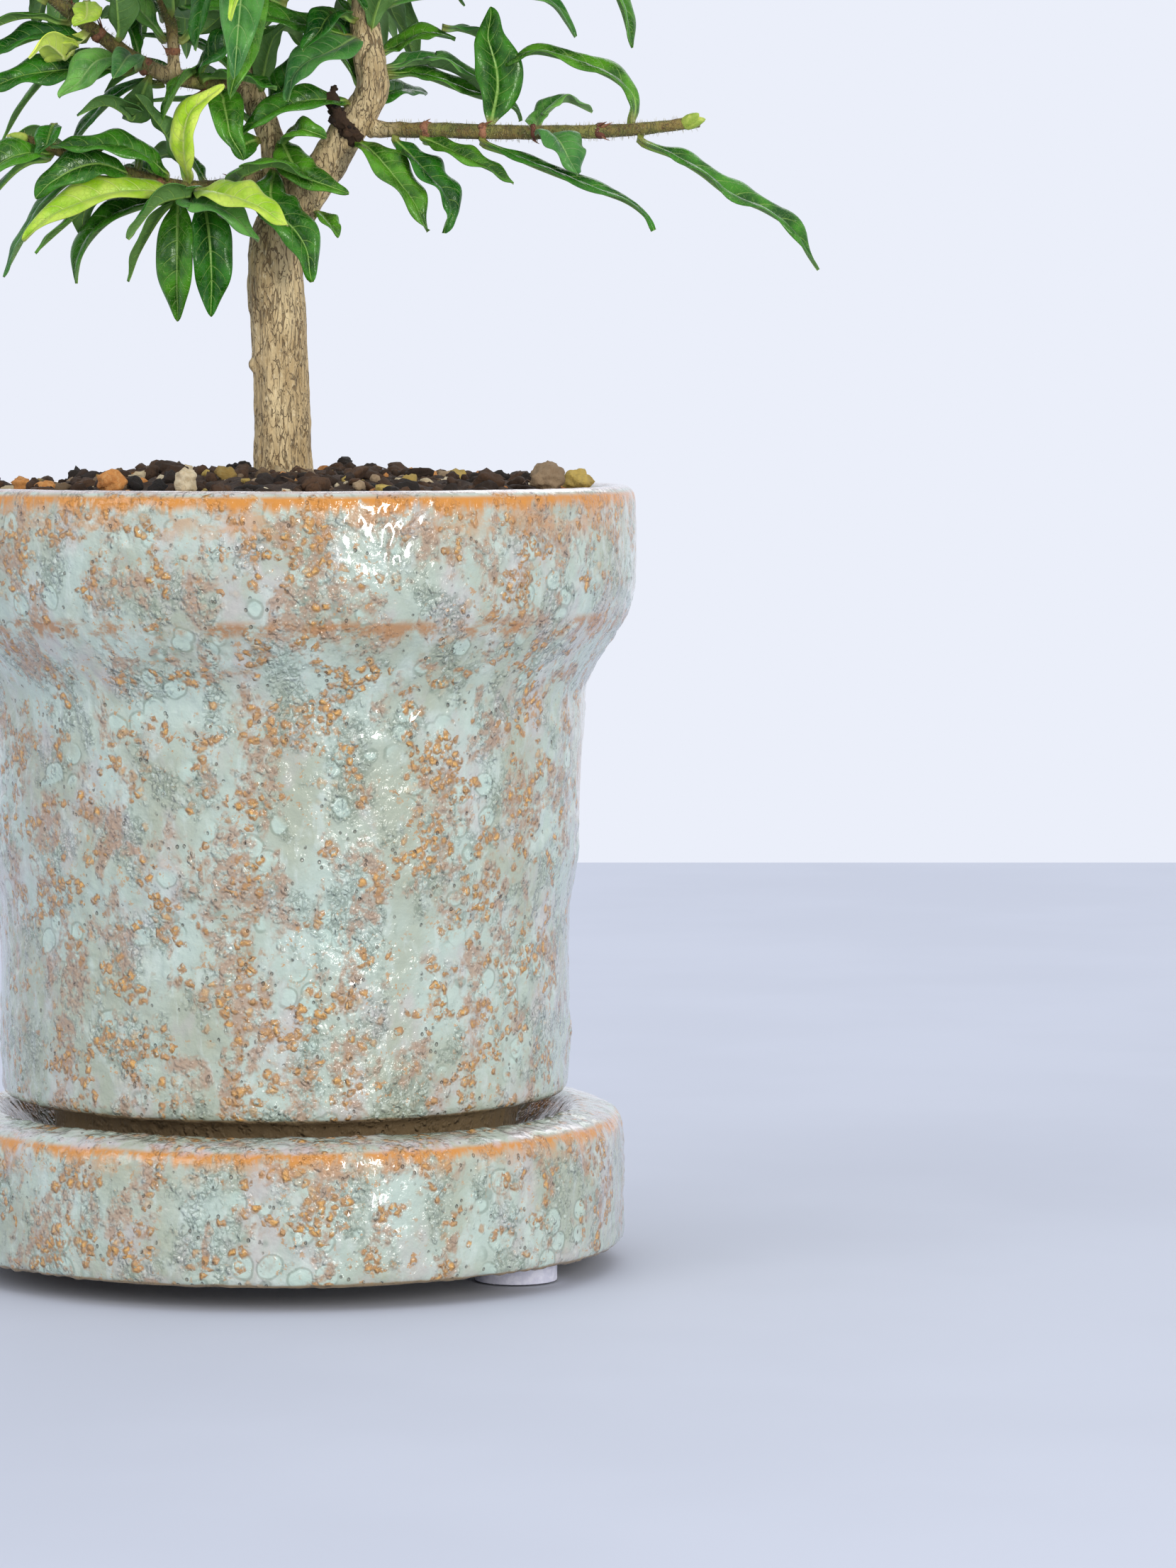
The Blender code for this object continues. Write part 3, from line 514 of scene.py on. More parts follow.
def grain_material(name, dark, light, spot, spot_share=0.4):
    """Crumbly mineral or humus grain; each grain has its own tint."""
    s = Shader(name, dark)
    s.paint(light, s.attribute("tint"))
    s.paint(spot, s.fade(s.noise(0.8, 4, 0.65), 0.46, 0.66, 0, spot_share))
    s.paint(dark, s.fade(s.noise(0.35, 3), 0.58, 0.70, 0, 0.5))
    return s.finish(0.92, s.bump(s.noise(0.5, 5, 0.65), 0.35, 0.9))


def flat_material(name, low, high, size, roughness, relief, **settings):
    """Plain surface with slight mottling."""
    s = Shader(name, low)
    s.paint(high, s.fade(s.noise(size, 3), 0.35, 0.65))
    return s.finish(roughness, s.bump(s.noise(size * 0.3, 4, 0.6), relief), **settings)


def sheath_material(name):
    """Papery reddish sheath and scars at the leaf nodes."""
    s = Shader(name, rgb(104, 56, 40))
    s.paint(rgb(166, 112, 80), s.attribute("tint"))
    s.paint(rgb(82, 50, 40), s.fade(s.noise(0.5, 4, 0.6), 0.48, 0.64, 0, 0.7))
    return s.finish(0.75, s.bump(s.noise(0.4, 4, 0.6), 0.2, 0.9))


def make_materials():
    """All materials by name, and a few small ones of the scene's own."""
    pot_bands = [
        (RIM - 3.0, 3.0, 5.0, 0.6, 0.46, rgb(196, 138, 78)),
        (RIM - 1.7, 1.1, 1.5, 1.0, 0.10, rgb(204, 132, 34)),
        (RIM - 21.0, 2.2, 1.2, 0.9, 0.46, rgb(172, 122, 72)),
    ]
    saucer_rust_and_highlight_bands = [
        (SAUCER_TOP - 3.0, 2.4, 3.5, 0.5, 0.46, rgb(196, 138, 78)),
        (SAUCER_TOP - 2.5, 1.1, 0.9, 1.0, 0.22, rgb(202, 132, 38)),
        # painted highlight: a pale lilac band along the saucer's rounded top edge
        (SAUCER_TOP - 1.2, 0.9, 0.5, 0.6, 0.40, rgb(200, 190, 194)),
    ]
    return {
        "pot_glaze": glaze_material("pot_glaze", pot_bands, RIM - 0.5, POT_BASE),
        "saucer_glaze": glaze_material("saucer_glaze", saucer_rust_and_highlight_bands, SAUCER_TOP + 9, SAUCER_BOTTOM),
        "mature_leaf": leaf_material("mature_leaf", rgb(16, 66, 8), rgb(56, 122, 24),
                                     rgb(150, 188, 92), rgb(98, 138, 70), 0.20, 0.0),
        "pale_leaf": leaf_material("pale_leaf", rgb(50, 108, 40), rgb(98, 156, 66),
                                   rgb(160, 196, 116), rgb(122, 160, 96), 0.30, 0.16),
        "young_leaf": leaf_material("young_leaf", rgb(176, 214, 30), rgb(228, 244, 96),
                                    rgb(228, 238, 140), rgb(196, 216, 90), 0.30, 0.2),
        "bark": bark_material("bark"),
        "soil": grain_material("soil_ground", rgb(34, 25, 19), rgb(74, 54, 40), rgb(96, 74, 54), 0.5),
        "crumb": grain_material("humus_crumb", rgb(20, 14, 8), rgb(84, 58, 36), rgb(46, 32, 20)),
        "pumice": grain_material("pumice_grain", rgb(170, 150, 112), rgb(226, 212, 180),
                                 rgb(196, 166, 120)),
        "akadama": grain_material("akadama_grain", rgb(150, 86, 40), rgb(212, 146, 76),
                                  rgb(224, 178, 116)),
        "mossy": grain_material("mossy_grain", rgb(134, 106, 52), rgb(208, 180, 92),
                                rgb(156, 140, 92)),
        "grit": grain_material("grey_grit", rgb(108, 88, 64), rgb(172, 148, 116), rgb(126, 98, 68)),
        "sheath": sheath_material("leaf_sheath"),
        "hair": flat_material("fine_hair", rgb(178, 170, 130), rgb(206, 198, 160), 2.0, 0.7, 0.05),
        "pad": flat_material("white_pad", rgb(206, 206, 222), rgb(226, 226, 238), 1.2, 0.6, 0.05),
        "root": flat_material("rootlet", rgb(58, 42, 30), rgb(104, 78, 54), 1.0, 0.9, 0.1),
        "bud": flat_material("tip_bud", rgb(150, 176, 60), rgb(196, 206, 96), 1.5, 0.5, 0.1),
    }


# Turned pieces -------------------------------------------------------------------------------

def turned_outline(node):
    """Outline (radius, height) of a turned CAD node: its points at angle 0, in order."""
    points, faces = cad_mesh(node)
    centre = (points.min(axis=0) + points.max(axis=0)) / 2
    flat = points - np.array([centre[0], centre[1], 0])
    column = [i for i, p in enumerate(flat) if abs(p[1]) < 0.01 and p[0] > -0.001]
    kept = set(column)
    near = neighbours_of(len(points), faces)
    links = {i: [j for j in near[i] if j in kept] for i in column}
    ends = [i for i in column if flat[i][0] < 0.01]
    start = max(ends or column, key=lambda i: (flat[i][2], flat[i][0]))
    order = [start]
    while True:
        options = [j for j in links[order[-1]] if j not in order]
        if not options:
            break
        if len(order) == 1 and not ends:
            options.sort(key=lambda j: -flat[j][0])
        order.append(options[0])
    outline = np.array([(flat[i][0], flat[i][2]) for i in order])
    return outline, centre, not ends


def fine_outline(outline, closed, spacing):
    """Resample an outline: smooth where it bends gently, lightly eased at its corners."""
    if closed:
        outline = np.vstack([outline, outline[:1]])
    turns = unit(np.diff(outline, axis=0))
    corners = [0]
    for index in range(1, len(outline) - 1):
        if turns[index - 1] @ turns[index] < math.cos(math.radians(33)):
            corners.append(index)
    corners.append(len(outline) - 1)
    fine = []
    for first, last in zip(corners, corners[1:]):
        part = outline[first:last + 1]
        if len(part) > 2:
            part = smooth_curve(part, 8)
        lengths = path_lengths(part)
        places = [0.0]
        while places[-1] < lengths[-1]:
            here = resample(part, [places[-1] / lengths[-1]])[0]
            places.append(places[-1] + spacing(*here))
        count = max(len(places) - 1, 1)
        fine.append(resample(part, np.linspace(0, 1, count + 1))[:-1])
    fine = np.vstack(fine + ([] if closed else [outline[-1:]]))
    for _ in range(2):
        before = np.roll(fine, 1, axis=0)
        after = np.roll(fine, -1, axis=0)
        eased = fine * 0.5 + (before + after) * 0.25
        if not closed:
            eased[0], eased[-1] = fine[0], fine[-1]
        fine = eased
    return fine


def turn(outline, closed, turns, push):
    """Turn an outline round the axis; push(point, normal) gives how far each point moves out."""
    rows = len(outline)
    tangent = np.roll(outline, -1, axis=0) - np.roll(outline, 1, axis=0)
    if not closed:
        tangent[0] = outline[1] - outline[0]
        tangent[-1] = outline[-1] - outline[-2]
    normal = unit(np.column_stack([-tangent[:, 1], tangent[:, 0]]))
    vertices = []
    rings = []
    for row in range(rows):
        radius, z = outline[row]
        if radius < 0.02:
            rings.append([len(vertices)])
            vertices.append((0, 0, z))
            continue
        ring = []
        for k in range(turns):
            angle = 2 * math.pi * k / turns
            c, s = math.cos(angle), math.sin(angle)
            point = (radius * c, radius * s, z)
            out = push(point, normal[row])
            ring.append(len(vertices))
            vertices.append((point[0] + out * normal[row][0] * c, point[1] + out * normal[row][0] * s,
                             z + out * normal[row][1]))
        rings.append(ring)
    faces = []
    pairs = list(zip(rings, rings[1:])) + ([(rings[-1], rings[0])] if closed else [])
    for upper, lower in pairs:
        for k in range(turns):
            a, b = upper[k % len(upper)], upper[(k + 1) % len(upper)]
            c, d = lower[(k + 1) % len(lower)], lower[k % len(lower)]
            face = [a, b, c, d] if len(upper) > 1 and len(lower) > 1 else (
                [a, c, d] if len(upper) == 1 else [a, b, c])
            faces.append(tuple(reversed(face)))
    return vertices, faces


def glaze_push(smooth_from):
    """Relief of the thick glaze: beads and hollows, calmer at the rim."""
    def push(point, normal):
        if not point[2] < smooth_from:
            return 0.06 * ripple(point, 3.0)
        x, y, z = point
        near = noise.voronoi(Vector((x, y, z * 0.85)) / 1.9)[0][0]
        beads = max(0.0, 1 - (near / 0.62) ** 2) * 0.30
        lumps = ripple((x, y, z * 0.8), 1.5) * 0.13 + ripple(point, 3.6, 5) * 0.22
        zone = 0.55 + 0.9 * ripple(point, 11.0, 2)
        return (beads + lumps) * min(max(zone, 0.15), 1.2) + 0.25 * ripple((x, y, z * 2), 24.0, 4)
    return push


def make_turned(node, name, material, slot, spacing, turns, push):
    """Fine turned piece that stands for a CAD node."""
    outline, centre, closed = turned_outline(node)
    fine = fine_outline(outline, closed, spacing)
    vertices, faces = turn(fine, closed, turns, push)
    vertices = np.array(vertices) + np.array([centre[0], centre[1], 0])
    obj = add_piece(name, vertices, faces, material)
    return finish_piece(obj, slot, node)


def make_pot(materials):
    """Pot and saucer with the relief of their glaze."""
    def pot_spacing(radius, z):
        outside = radius > 0.93 * (RIM_RADIUS - 9) and z > POT_BASE - 1
        shows = outside and (radius > RIM_RADIUS - 10.5 or z < RIM - 20)
        return OUTER_STEP if shows or z > RIM - 4 else HIDDEN_STEP

    def saucer_spacing(radius, z):
        return OUTER_STEP if radius > SAUCER_RADIUS - 11.5 else HIDDEN_STEP

    make_turned("pot", "glazed_pot", materials["pot_glaze"], "celadon_glaze", pot_spacing, TURNS,
                glaze_push(RIM - 0.9))
    make_turned("saucer", "glazed_saucer", materials["saucer_glaze"], "celadon_glaze", saucer_spacing,
                TURNS, glaze_push(SAUCER_TOP + 9))


def make_pads(materials):
    """Soft pads under the saucer."""
    def push(point, normal):
        return 0.05 * ripple(point, 1.2) if point[2] > 0.3 else 0.0

    for node in sorted(n for n in NODES if n.startswith("foot_pad_")):
        make_turned(node, f"soft_{node}", materials["pad"], "white_pad", lambda r, z: 0.35, 72, push)


# Soil ----------------------------------------------------------------------------------------

def soil_relief(x, y):
    """Lumpy top of the soil."""
    return (1.2 * ripple((x, y, 0), 6.0, 3) + 0.6 * ripple((x, y, 0), 2.4, 6)
            + 0.25 * ripple((x, y, 0), 1.0, 8))


def make_soil(materials):
    """Ground of fine humus; its top is lumpy."""
    top = level("soil", 1)

    def push(point, normal):
        if point[2] < top - SOIL_ZONE or normal[1] < 0.5:
            return 0.0
        edge = step_up(math.hypot(point[0], point[1]), SOIL_CALM[1], SOIL_CALM[0])
        return soil_relief(point[0], point[1]) * float(edge)

    def spacing(radius, z):
        return SOIL_STEP if z > top - SOIL_ZONE and radius > TRUNK_ROOM else HIDDEN_STEP

    obj = make_turned("soil", "soil_ground", materials["soil"], "potting_mix", spacing, 420, push)
    set_attribute(obj.data, "tint", [0.5 + 0.5 * ripple(v.co / MM, 4.0) for v in obj.data.vertices])


def soil_top(x, y, outline):
    """Height of the soil surface at a place."""
    return float(np.interp(math.hypot(x, y), outline[:, 0], outline[:, 1])) + soil_relief(x, y)


def grain(rng, base, place, size):
    """One angular grain: a ball cut by random flats, with fine lumps."""
    points, faces = base
    stretch = np.array([rng.uniform(0.8, 1.35), rng.uniform(0.7, 1.1), rng.uniform(0.55, 0.9)])
    seed = rng.uniform(0, 90)
    shaped = []
    cuts = [unit(scatter(rng)) for _ in range(7)]
    for point in points:
        reach = 1.0
        for cut in cuts:
            facing = float(point @ cut)
            if facing > 0.66:
                reach = min(reach, 0.66 / facing)
        lump = (1.1 + 0.34 * ripple(point, 0.8, seed) + 0.24 * ripple(point, 0.36, seed)
                + 0.10 * ripple(point, 0.17, seed))
        shaped.append(point * reach * lump * stretch * size)
    spin = Matrix.Rotation(rng.uniform(0, 6.28), 3, "Z") @ Matrix.Rotation(rng.uniform(-1, 1), 3, "X")
    shaped = np.array(shaped) @ np.array(spin).T
    return shaped + np.array(place), faces


def make_grains(materials):
    """Hundreds of grains of the mix on the soil, joined by kind."""
    rng = random.Random(11)
    outline = turned_outline("soil")[0]
    top = outline[(outline[:, 1] > level("soil", 1) - 4.0) & (outline[:, 0] > 5)]
    top = top[np.argsort(top[:, 0])]
    kinds = {
        "crumb": (820, 0.35, 2.3, "crumb"),
        "grit": (130, 0.4, 2.0, "crumb"),
        "pumice": (110, 0.4, 1.8, "pumice"),
        "akadama": (90, 0.4, 1.9, "akadama"),
        "mossy": (80, 0.4, 2.1, "mossy_stone"),
    }
    shapes = [ball(1), ball(2), ball(3)]
    stones = [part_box(n) for n in NODES if n.startswith("stone_")]
    for kind, (count, least, most, slot) in kinds.items():
        lump = Lump()
        placed = 0
        while placed < count:
            radius = GRAIN_REACH * math.sqrt(rng.random())
            angle = rng.uniform(0, 2 * math.pi)
            x, y = radius * math.cos(angle), radius * math.sin(angle)
            size = least + (most - least) * rng.random() ** 2.8
            if radius < TRUNK_ROOM + 1 + size or radius > GRAIN_REACH + 1.6 - size:
                continue
            if any(low[0] / MM - size < x < high[0] / MM + size
                   and low[1] / MM - size < y < high[1] / MM + size for low, high in stones):
                continue
            z = soil_top(x, y, top) + size * rng.uniform(-0.2, 0.35)
            base = shapes[(size > 0.85) + (size > 1.5)]
            lump.add(*grain(rng, base, (x, y, z), size), tint=rng.random())
            placed += 1
        finish_piece(lump.make(f"grains_{kind}", materials[kind]), slot)
    make_rootlets(rng, top, materials["root"])


def make_rootlets(rng, top, material):
    """Short fine roots that lie on the soil."""
    lump = Lump()
    for _ in range(26):
        radius, angle = rng.uniform(12, 46), rng.uniform(0, 2 * math.pi)
        start = np.array([radius * math.cos(angle), radius * math.sin(angle), 0])
        start[2] = soil_top(start[0], start[1], top)
        way = rng.uniform(0, 2 * math.pi)
        reach = rng.uniform(2.5, 6)
        rise = rng.uniform(0.4, 1.6)
        middle = np.array([math.cos(way), math.sin(way), 0]) * reach * 0.5 + (0, 0, rise)
        end = np.array([math.cos(way + 0.7), math.sin(way + 0.7), 0]) * reach + (0, 0, rise * 0.6)
        route = [start - (0, 0, 0.6), start + middle, start + end]
        line = smooth_curve(route, 6)
        lump.add(*tube(line, np.linspace(0.22, 0.08, len(line)), 6), tint=rng.random())
    finish_piece(lump.make("rootlets", material), "bark")


def make_stones(materials):
    """The largest stones: the CAD shapes, finer and rougher."""
    looks = {"stone_crumb": "grit", "stone_mossy": "mossy", "stone_akadama": "akadama",
             "stone_pumice": "pumice"}
    for number, (node, look) in enumerate(looks.items()):
        points, faces = cad_mesh(node)
        shape = bmesh.new()
        made = [shape.verts.new(p) for p in points]
        for face in faces:
            shape.faces.new([made[i] for i in face])
        bmesh.ops.subdivide_edges(shape, edges=shape.edges, cuts=3, use_grid_fill=True, smooth=1.0)
        bmesh.ops.recalc_face_normals(shape, faces=shape.faces)
        shape.normal_update()
        for vertex in shape.verts:
            rough = (ripple(vertex.co, 1.4, number) * 0.55 + ripple(vertex.co, 0.7, number) * 0.28
                     + ripple(vertex.co, 0.35, number) * 0.10)
            vertex.co += vertex.normal * (rough - 0.05)
        shape.verts.index_update()
        vertices = [tuple(v.co) for v in shape.verts]
        fine = [tuple(v.index for v in f.verts) for f in shape.faces]
        shape.free()
        obj = add_piece(f"{node}_rough", vertices, fine, materials[look])
        set_attribute(obj.data, "tint", [0.55 + 0.35 * ripple(v, 2.5) for v in vertices])
        slot = {"grit": "crumb", "mossy": "mossy_stone"}.get(look, look)
        finish_piece(obj, slot, node)


# Wood ----------------------------------------------------------------------------------------

def middle_line(node, start, stop, bins):
    """Rough middle line of a stem between two places: means of slices across that direction."""
    points, _ = cad_mesh(node)
    way = unit(np.array(stop) - np.array(start))
    along = (points - np.array(start)) @ way
    edges = np.linspace(along.min(), along.max(), bins + 1)
    line = []
    for low, high in zip(edges, edges[1:]):
        inside = points[(along >= low - 0.5) & (along <= high + 0.5)]
        if len(inside) > 2:
            line.append((inside.min(axis=0) + inside.max(axis=0)) / 2)
    return smooth_curve(np.array(line), 4)


def seat_of(node, parent_tree):
    """Where a branch meets its parent: the place and the branch's half thickness there."""
    points, _ = cad_mesh(node)
    reach = [parent_tree.find_nearest(Vector(p))[3] for p in points]
    close = points[np.array(reach) < 0.7]
    middle = close.mean(axis=0)
    return middle, float(np.linalg.norm(close - middle, axis=1).mean())


PARENTS = {
    "limb_left": "trunk", "twig_right": "trunk", "branch_upper_right": "trunk", "branch_back": "trunk",
    "branch_back_right": "trunk", "twig_left": "limb_left", "branch_upper_left": "limb_left",
    "branch_front": "limb_left", "branch_back_left": "limb_left", "twig_up_left": "branch_upper_left",
}
BARK_NODES = ["trunk", "limb_left"]


# Leaf scars on the trunk: place (x, y, height above the rim) and size
SCARS = [((-5.6, -1.5, 18.6), 1.1), ((4.9, -1.5, 18.4), 0.9), ((2.0, -4.8, 9.5), 0.6), ((-1, 5, 30), 1.0)]


def remeshed(name, parts):
    """One continuous skin round several closed meshes, in millimetres."""
    lump = Lump()
    for vertices, faces in parts:
        lump.add(vertices, faces)
    mesh = bpy.data.meshes.new(name)
    mesh.from_pydata((np.array(lump.vertices) * MM).tolist(), [], lump.faces)
    obj = new_object(name, mesh)
    skin = obj.modifiers.new("skin", "REMESH")
    skin.mode = "VOXEL"
    skin.voxel_size = WOOD_VOXEL * MM
    ease = obj.modifiers.new("ease", "SMOOTH")
    ease.factor = 0.5
    ease.iterations = 6
    graph = bpy.context.evaluated_depsgraph_get()
    fine = bpy.data.meshes.new_from_object(obj.evaluated_get(graph))
    bpy.data.objects.remove(obj)
    return fine


def bark_shape(point, green):
    """Relief and crack depth of the bark at a point: long fissures on old wood, fine lumps on young."""
    x, y, z = point
    wavy = ripple((x, y, z * 0.35), 2.2, 3)
    fissure = abs(ripple((x + 0.8 * wavy, y + 0.8 * wavy, z * 0.16), 1.15, 7))
    open_here = float(step_up(ripple((x, y, z * 0.5), 2.0, 2), -0.15, 0.25))
    crack = float(step_up(fissure, 0.08, 0.0)) * open_here
    plates = ripple((x, y, z * 0.22), 1.3, 5) * 0.26 + ripple((x, y, z * 0.5), 0.8, 6) * 0.10
    old = plates - 0.20 * crack + 0.3 * ripple((x, y, z), 6.0, 4)
    for place, size in SCARS:
        away = (Vector(place) + Vector((0, 0, RIM)) - Vector(point)).length / size
        old += 0.75 * math.exp(-(away - 0.8) ** 2 * 5) - 0.3 * math.exp(-(away * 2.2) ** 2)
    young = 0.07 * ripple(point, 1.0, 8) + 0.10 * ripple(point, 3.0, 1)
    return old * (1 - green) + young * green, crack * (1 - green)


def make_wood(materials):
    """Trunk and limb as one piece of bark, and the green twigs as another."""
    trees = {node: search_tree(*cad_mesh(node)) for node in set(PARENTS.values())}
    seats = {node: seat_of(node, trees[parent]) for node, parent in PARENTS.items()}
    round_ball = ball(3)
    green_nodes = [n for n in PARENTS if n not in BARK_NODES]
    for name, nodes in (("bark_wood", BARK_NODES), ("green_twigs", green_nodes)):
        parts = [cad_mesh(node) for node in nodes]
        for node in nodes:
            if node in seats:
                middle, radius = seats[node]
                parts.append((round_ball[0] * radius * 1.05 + middle, round_ball[1]))
        mesh = remeshed(name, parts)
        mesh.name = name
        obj = new_object(name, mesh)
        mesh.materials.clear()
        mesh.materials.append(materials["bark"])
        cracks, greens, places = [], [], []
        for vertex in mesh.vertices:
            place = vertex.co / MM
            height = place.z - RIM
            if name == "bark_wood":
                patchy = 6 * ripple(place, 8.0)
                green = float(step_up(height + patchy, 82, 108)) * 0.8
            else:
                away = min((place - Vector(seats[n][0])).length for n in green_nodes)
                green = float(step_up(away + 2 * ripple(place, 2.0), 0.5, 6.0))
            lift, crack = bark_shape(place, green)
            places.append((place + vertex.normal * lift) * MM)
            cracks.append(crack)
            greens.append(green)
        mesh.vertices.foreach_set("co", np.array(places, np.float32).ravel())
        mesh.update()
        mesh.shade_smooth()
        set_attribute(mesh, "crack", cracks)
        set_attribute(mesh, "green", greens)
        finish_piece(obj, "bark" if name == "bark_wood" else "green_twig", *nodes)
    return seats


# Leaves --------------------------------------------------------------------------------------

class Leaf:
    """Middle line, facing and width of one leaf, from stalk to tip."""

    def __init__(self, line, face, width, kind):
        self.line = line
        self.face = face
        self.width = width
        self.kind = kind


def leaf_from_cad(node):
    """Read a leaf's stations back from its CAD solid: rings of four points from the tip."""
    points, faces = cad_mesh(node)
    near = neighbours_of(len(points), faces)
    for tip in range(len(points)):
        seen = {tip}
        rings = []
        edge = {tip}
        while edge:
            edge = set().union(*(near[i] for i in edge)) - seen
            seen |= edge
            if edge:
                rings.append(sorted(edge))
        if all(len(ring) == 4 for ring in rings):
            break
    line, face, widths = [points[tip]], [], []
    pairs = [((0, 1), (2, 3)), ((0, 2), (1, 3)), ((0, 3), (1, 2))]
    for ring in rings:
        corner = points[ring]

        def misfit(a, b):
            """How far two corners are from the solid's thickness apart."""
            return abs(np.linalg.norm(corner[a] - corner[b]) - CAD_LEAF_THICK)

        def skew(a, b, c, d):
            """How badly a, b fit as the midrib's faces, and c, d as the margins."""
            lean = (corner[a] + corner[b] - corner[c] - corner[d]) @ (corner[c] - corner[d])
            return misfit(a, b) + abs(lean) * 0.5

        (a, b), (c, d) = min(pairs, key=lambda p: min(skew(*p[0], *p[1]), skew(*p[1], *p[0])))
        if misfit(a, b) > misfit(c, d):
            a, b, c, d = c, d, a, b
        middle = (corner[a] + corner[b]) / 2
        upper = corner[a] - corner[b]
        margin = (corner[c] + corner[d]) / 2 - middle
        line.append(middle)
        face.append(unit(upper if upper @ margin > 0 else -upper))
        widths.append(np.linalg.norm(corner[c] - corner[d]))
    face = [face[0]] + face
    kind = NODES[node].data.materials[0].name.split(".")[0]
    return Leaf(np.array(line[::-1]), np.array(face[::-1]), max(widths), kind)


def leaf_from_route(base, route, width, turn_degrees, kind):
    """A leaf along a route, its blade facing up and then turned about the midrib."""
    line = smooth_curve(np.vstack([base, route]), 6)
    along = unit(np.gradient(line, axis=0))
    outward = (line[-1] - line[0]) * np.array([1, 1, 0])
    outward = unit(outward) if np.linalg.norm(outward) > 1e-6 else np.array([0, -1.0, 0])
    drop = math.atan2(-along[0][2], along[0] @ outward)
    normal = np.array([0, 0, math.cos(drop)]) + outward * math.sin(drop)
    faces = []
    for way in along:
        normal = unit(normal - way * (normal @ way))
        faces.append(np.array(Matrix.Rotation(math.radians(turn_degrees), 3, Vector(way)) @ Vector(normal)))
    return Leaf(line, np.array(faces), width, kind)


def leaf_rows(leaf, rows):
    """The leaf's middle line, directions and facing at even steps."""
    shares = np.linspace(0, 1, rows)
    dense = smooth_curve(np.hstack([leaf.line, leaf.face]), 6)
    lengths = path_lengths(dense[:, :3])
    lengths = lengths / lengths[-1]
    line = np.column_stack([np.interp(shares, lengths, dense[:, k]) for k in range(3)])
    face = np.column_stack([np.interp(shares, lengths, dense[:, k]) for k in range(3, 6)])
    along = unit(np.gradient(line, axis=0))
    face = unit(face - along * np.sum(face * along, axis=1, keepdims=True))
    return shares, line, along, face


def blade_half(shares, width, belly):
    """Half width: a stalk, a full belly and a drawn-out point."""
    spread = np.maximum(np.sin(math.pi * np.clip(shares, 0, 1) ** belly), 0)
    blade = 0.5 * width * spread ** (1.20 - 0.45 * shares)
    stalk = 0.50 * (1 - 0.6 * shares) * step_up(shares, 0.30, 0.05)
    return np.hypot(blade, stalk) + 0.06


def leaf_mesh(name, leaf, seed, material):
    """Detailed closed leaf: V fold, arched halves, sunken veins, wavy margin."""
    rng = random.Random(seed)
    shares, line, along, face = leaf_rows(leaf, LEAF_ROWS)
    side = np.cross(along, face)
    half = blade_half(shares, leaf.width * rng.uniform(0.94, 1.08), rng.uniform(0.82, 1.05))
    curl = rng.uniform(-0.3, 0.3) * leaf.width * step_up(shares, 0.72, 1.0)
    twist = rng.uniform(-0.25, 0.25) * shares + rng.uniform(-0.1, 0.1)
    fold = rng.uniform(0.26, 0.50)
    waves = rng.uniform(2.2, 3.6)
    phase = [rng.uniform(0, 6.28), rng.uniform(0, 6.28)]
    wave_height = rng.uniform(0.03, 0.09) * leaf.width
    steps = np.linspace(0, 1, LEAF_COLUMNS + 1) ** 1.2
    across = np.concatenate([-steps[:0:-1], steps])
    turned_side = side * np.cos(twist)[:, None] + face * np.sin(twist)[:, None]
    turned_face = face * np.cos(twist)[:, None] - side * np.sin(twist)[:, None]
    line = line + side * curl[:, None]
    blade = step_up(shares, 0.05, 0.2)
    upper, lower = [], []
    for u in across:
        a = abs(u)
        quilt = np.cos(2 * math.pi * (shares * SIDE_VEINS - 1.5 * a ** 1.35))
        rise = half * (fold * a + 0.16 * math.sin(math.pi * a) - 0.10 * a ** 4) * (0.3 + 0.7 * blade)
        rise = rise + 0.05 * quilt * math.sin(math.pi * min(a * 1.1, 1)) * blade * (1 - shares ** 4)
        edge = wave_height * np.sin(2 * math.pi * waves * shares + phase[0 if u < 0 else 1])
        rise = rise + edge * a ** 2.5 * blade
        groove = 0.14 * math.exp(-(a / 0.09) ** 2) * blade
        rib = 0.34 * math.exp(-(a / 0.13) ** 2) * (1 - 0.75 * shares)
        thick = (0.24 - 0.10 * a) + rib + (1 - blade) * 0.55 * (1 - 0.8 * a)
        out = line + turned_side * (half * u)[:, None]
        upper.append(out + turned_face * (rise - groove)[:, None])
        lower.append(out + turned_face * (rise - thick)[:, None])
    columns = len(across)
    grid = np.array(upper).transpose(1, 0, 2).reshape(-1, 3)
    under = np.array(lower).transpose(1, 0, 2).reshape(-1, 3)
    count = len(grid)
    faces = []
    for row in range(LEAF_ROWS - 1):
        for k in range(columns - 1):
            a = row * columns + k
            quad = (a, a + 1, a + 1 + columns, a + columns)
            faces.append(quad)
            faces.append(tuple(count + i for i in reversed(quad)))
        left, right = row * columns, row * columns + columns - 1
        faces.append((left + columns, left + columns + count, left + count, left))
        faces.append((right, right + count, right + columns + count, right + columns))
    first = list(range(columns))
    last = [count - columns + k for k in range(columns)]
    for k in range(columns - 1):
        faces.append((first[k], first[k] + count, first[k + 1] + count, first[k + 1]))
        faces.append((last[k + 1], last[k + 1] + count, last[k] + count, last[k]))
    obj = add_piece(name, np.vstack([grid, under]), faces, material)
    mesh = obj.data
    set_attribute(mesh, "along", np.tile(np.repeat(shares, columns), 2))
    set_attribute(mesh, "across", np.tile(np.tile(across, LEAF_ROWS), 2))
    set_attribute(mesh, "aside", np.tile((half[:, None] * across[None, :]).ravel(), 2))
    set_attribute(mesh, "below", np.repeat([0.0, 1.0], count))
    set_attribute(mesh, "tint", np.full(2 * count, rng.random()))
    return obj


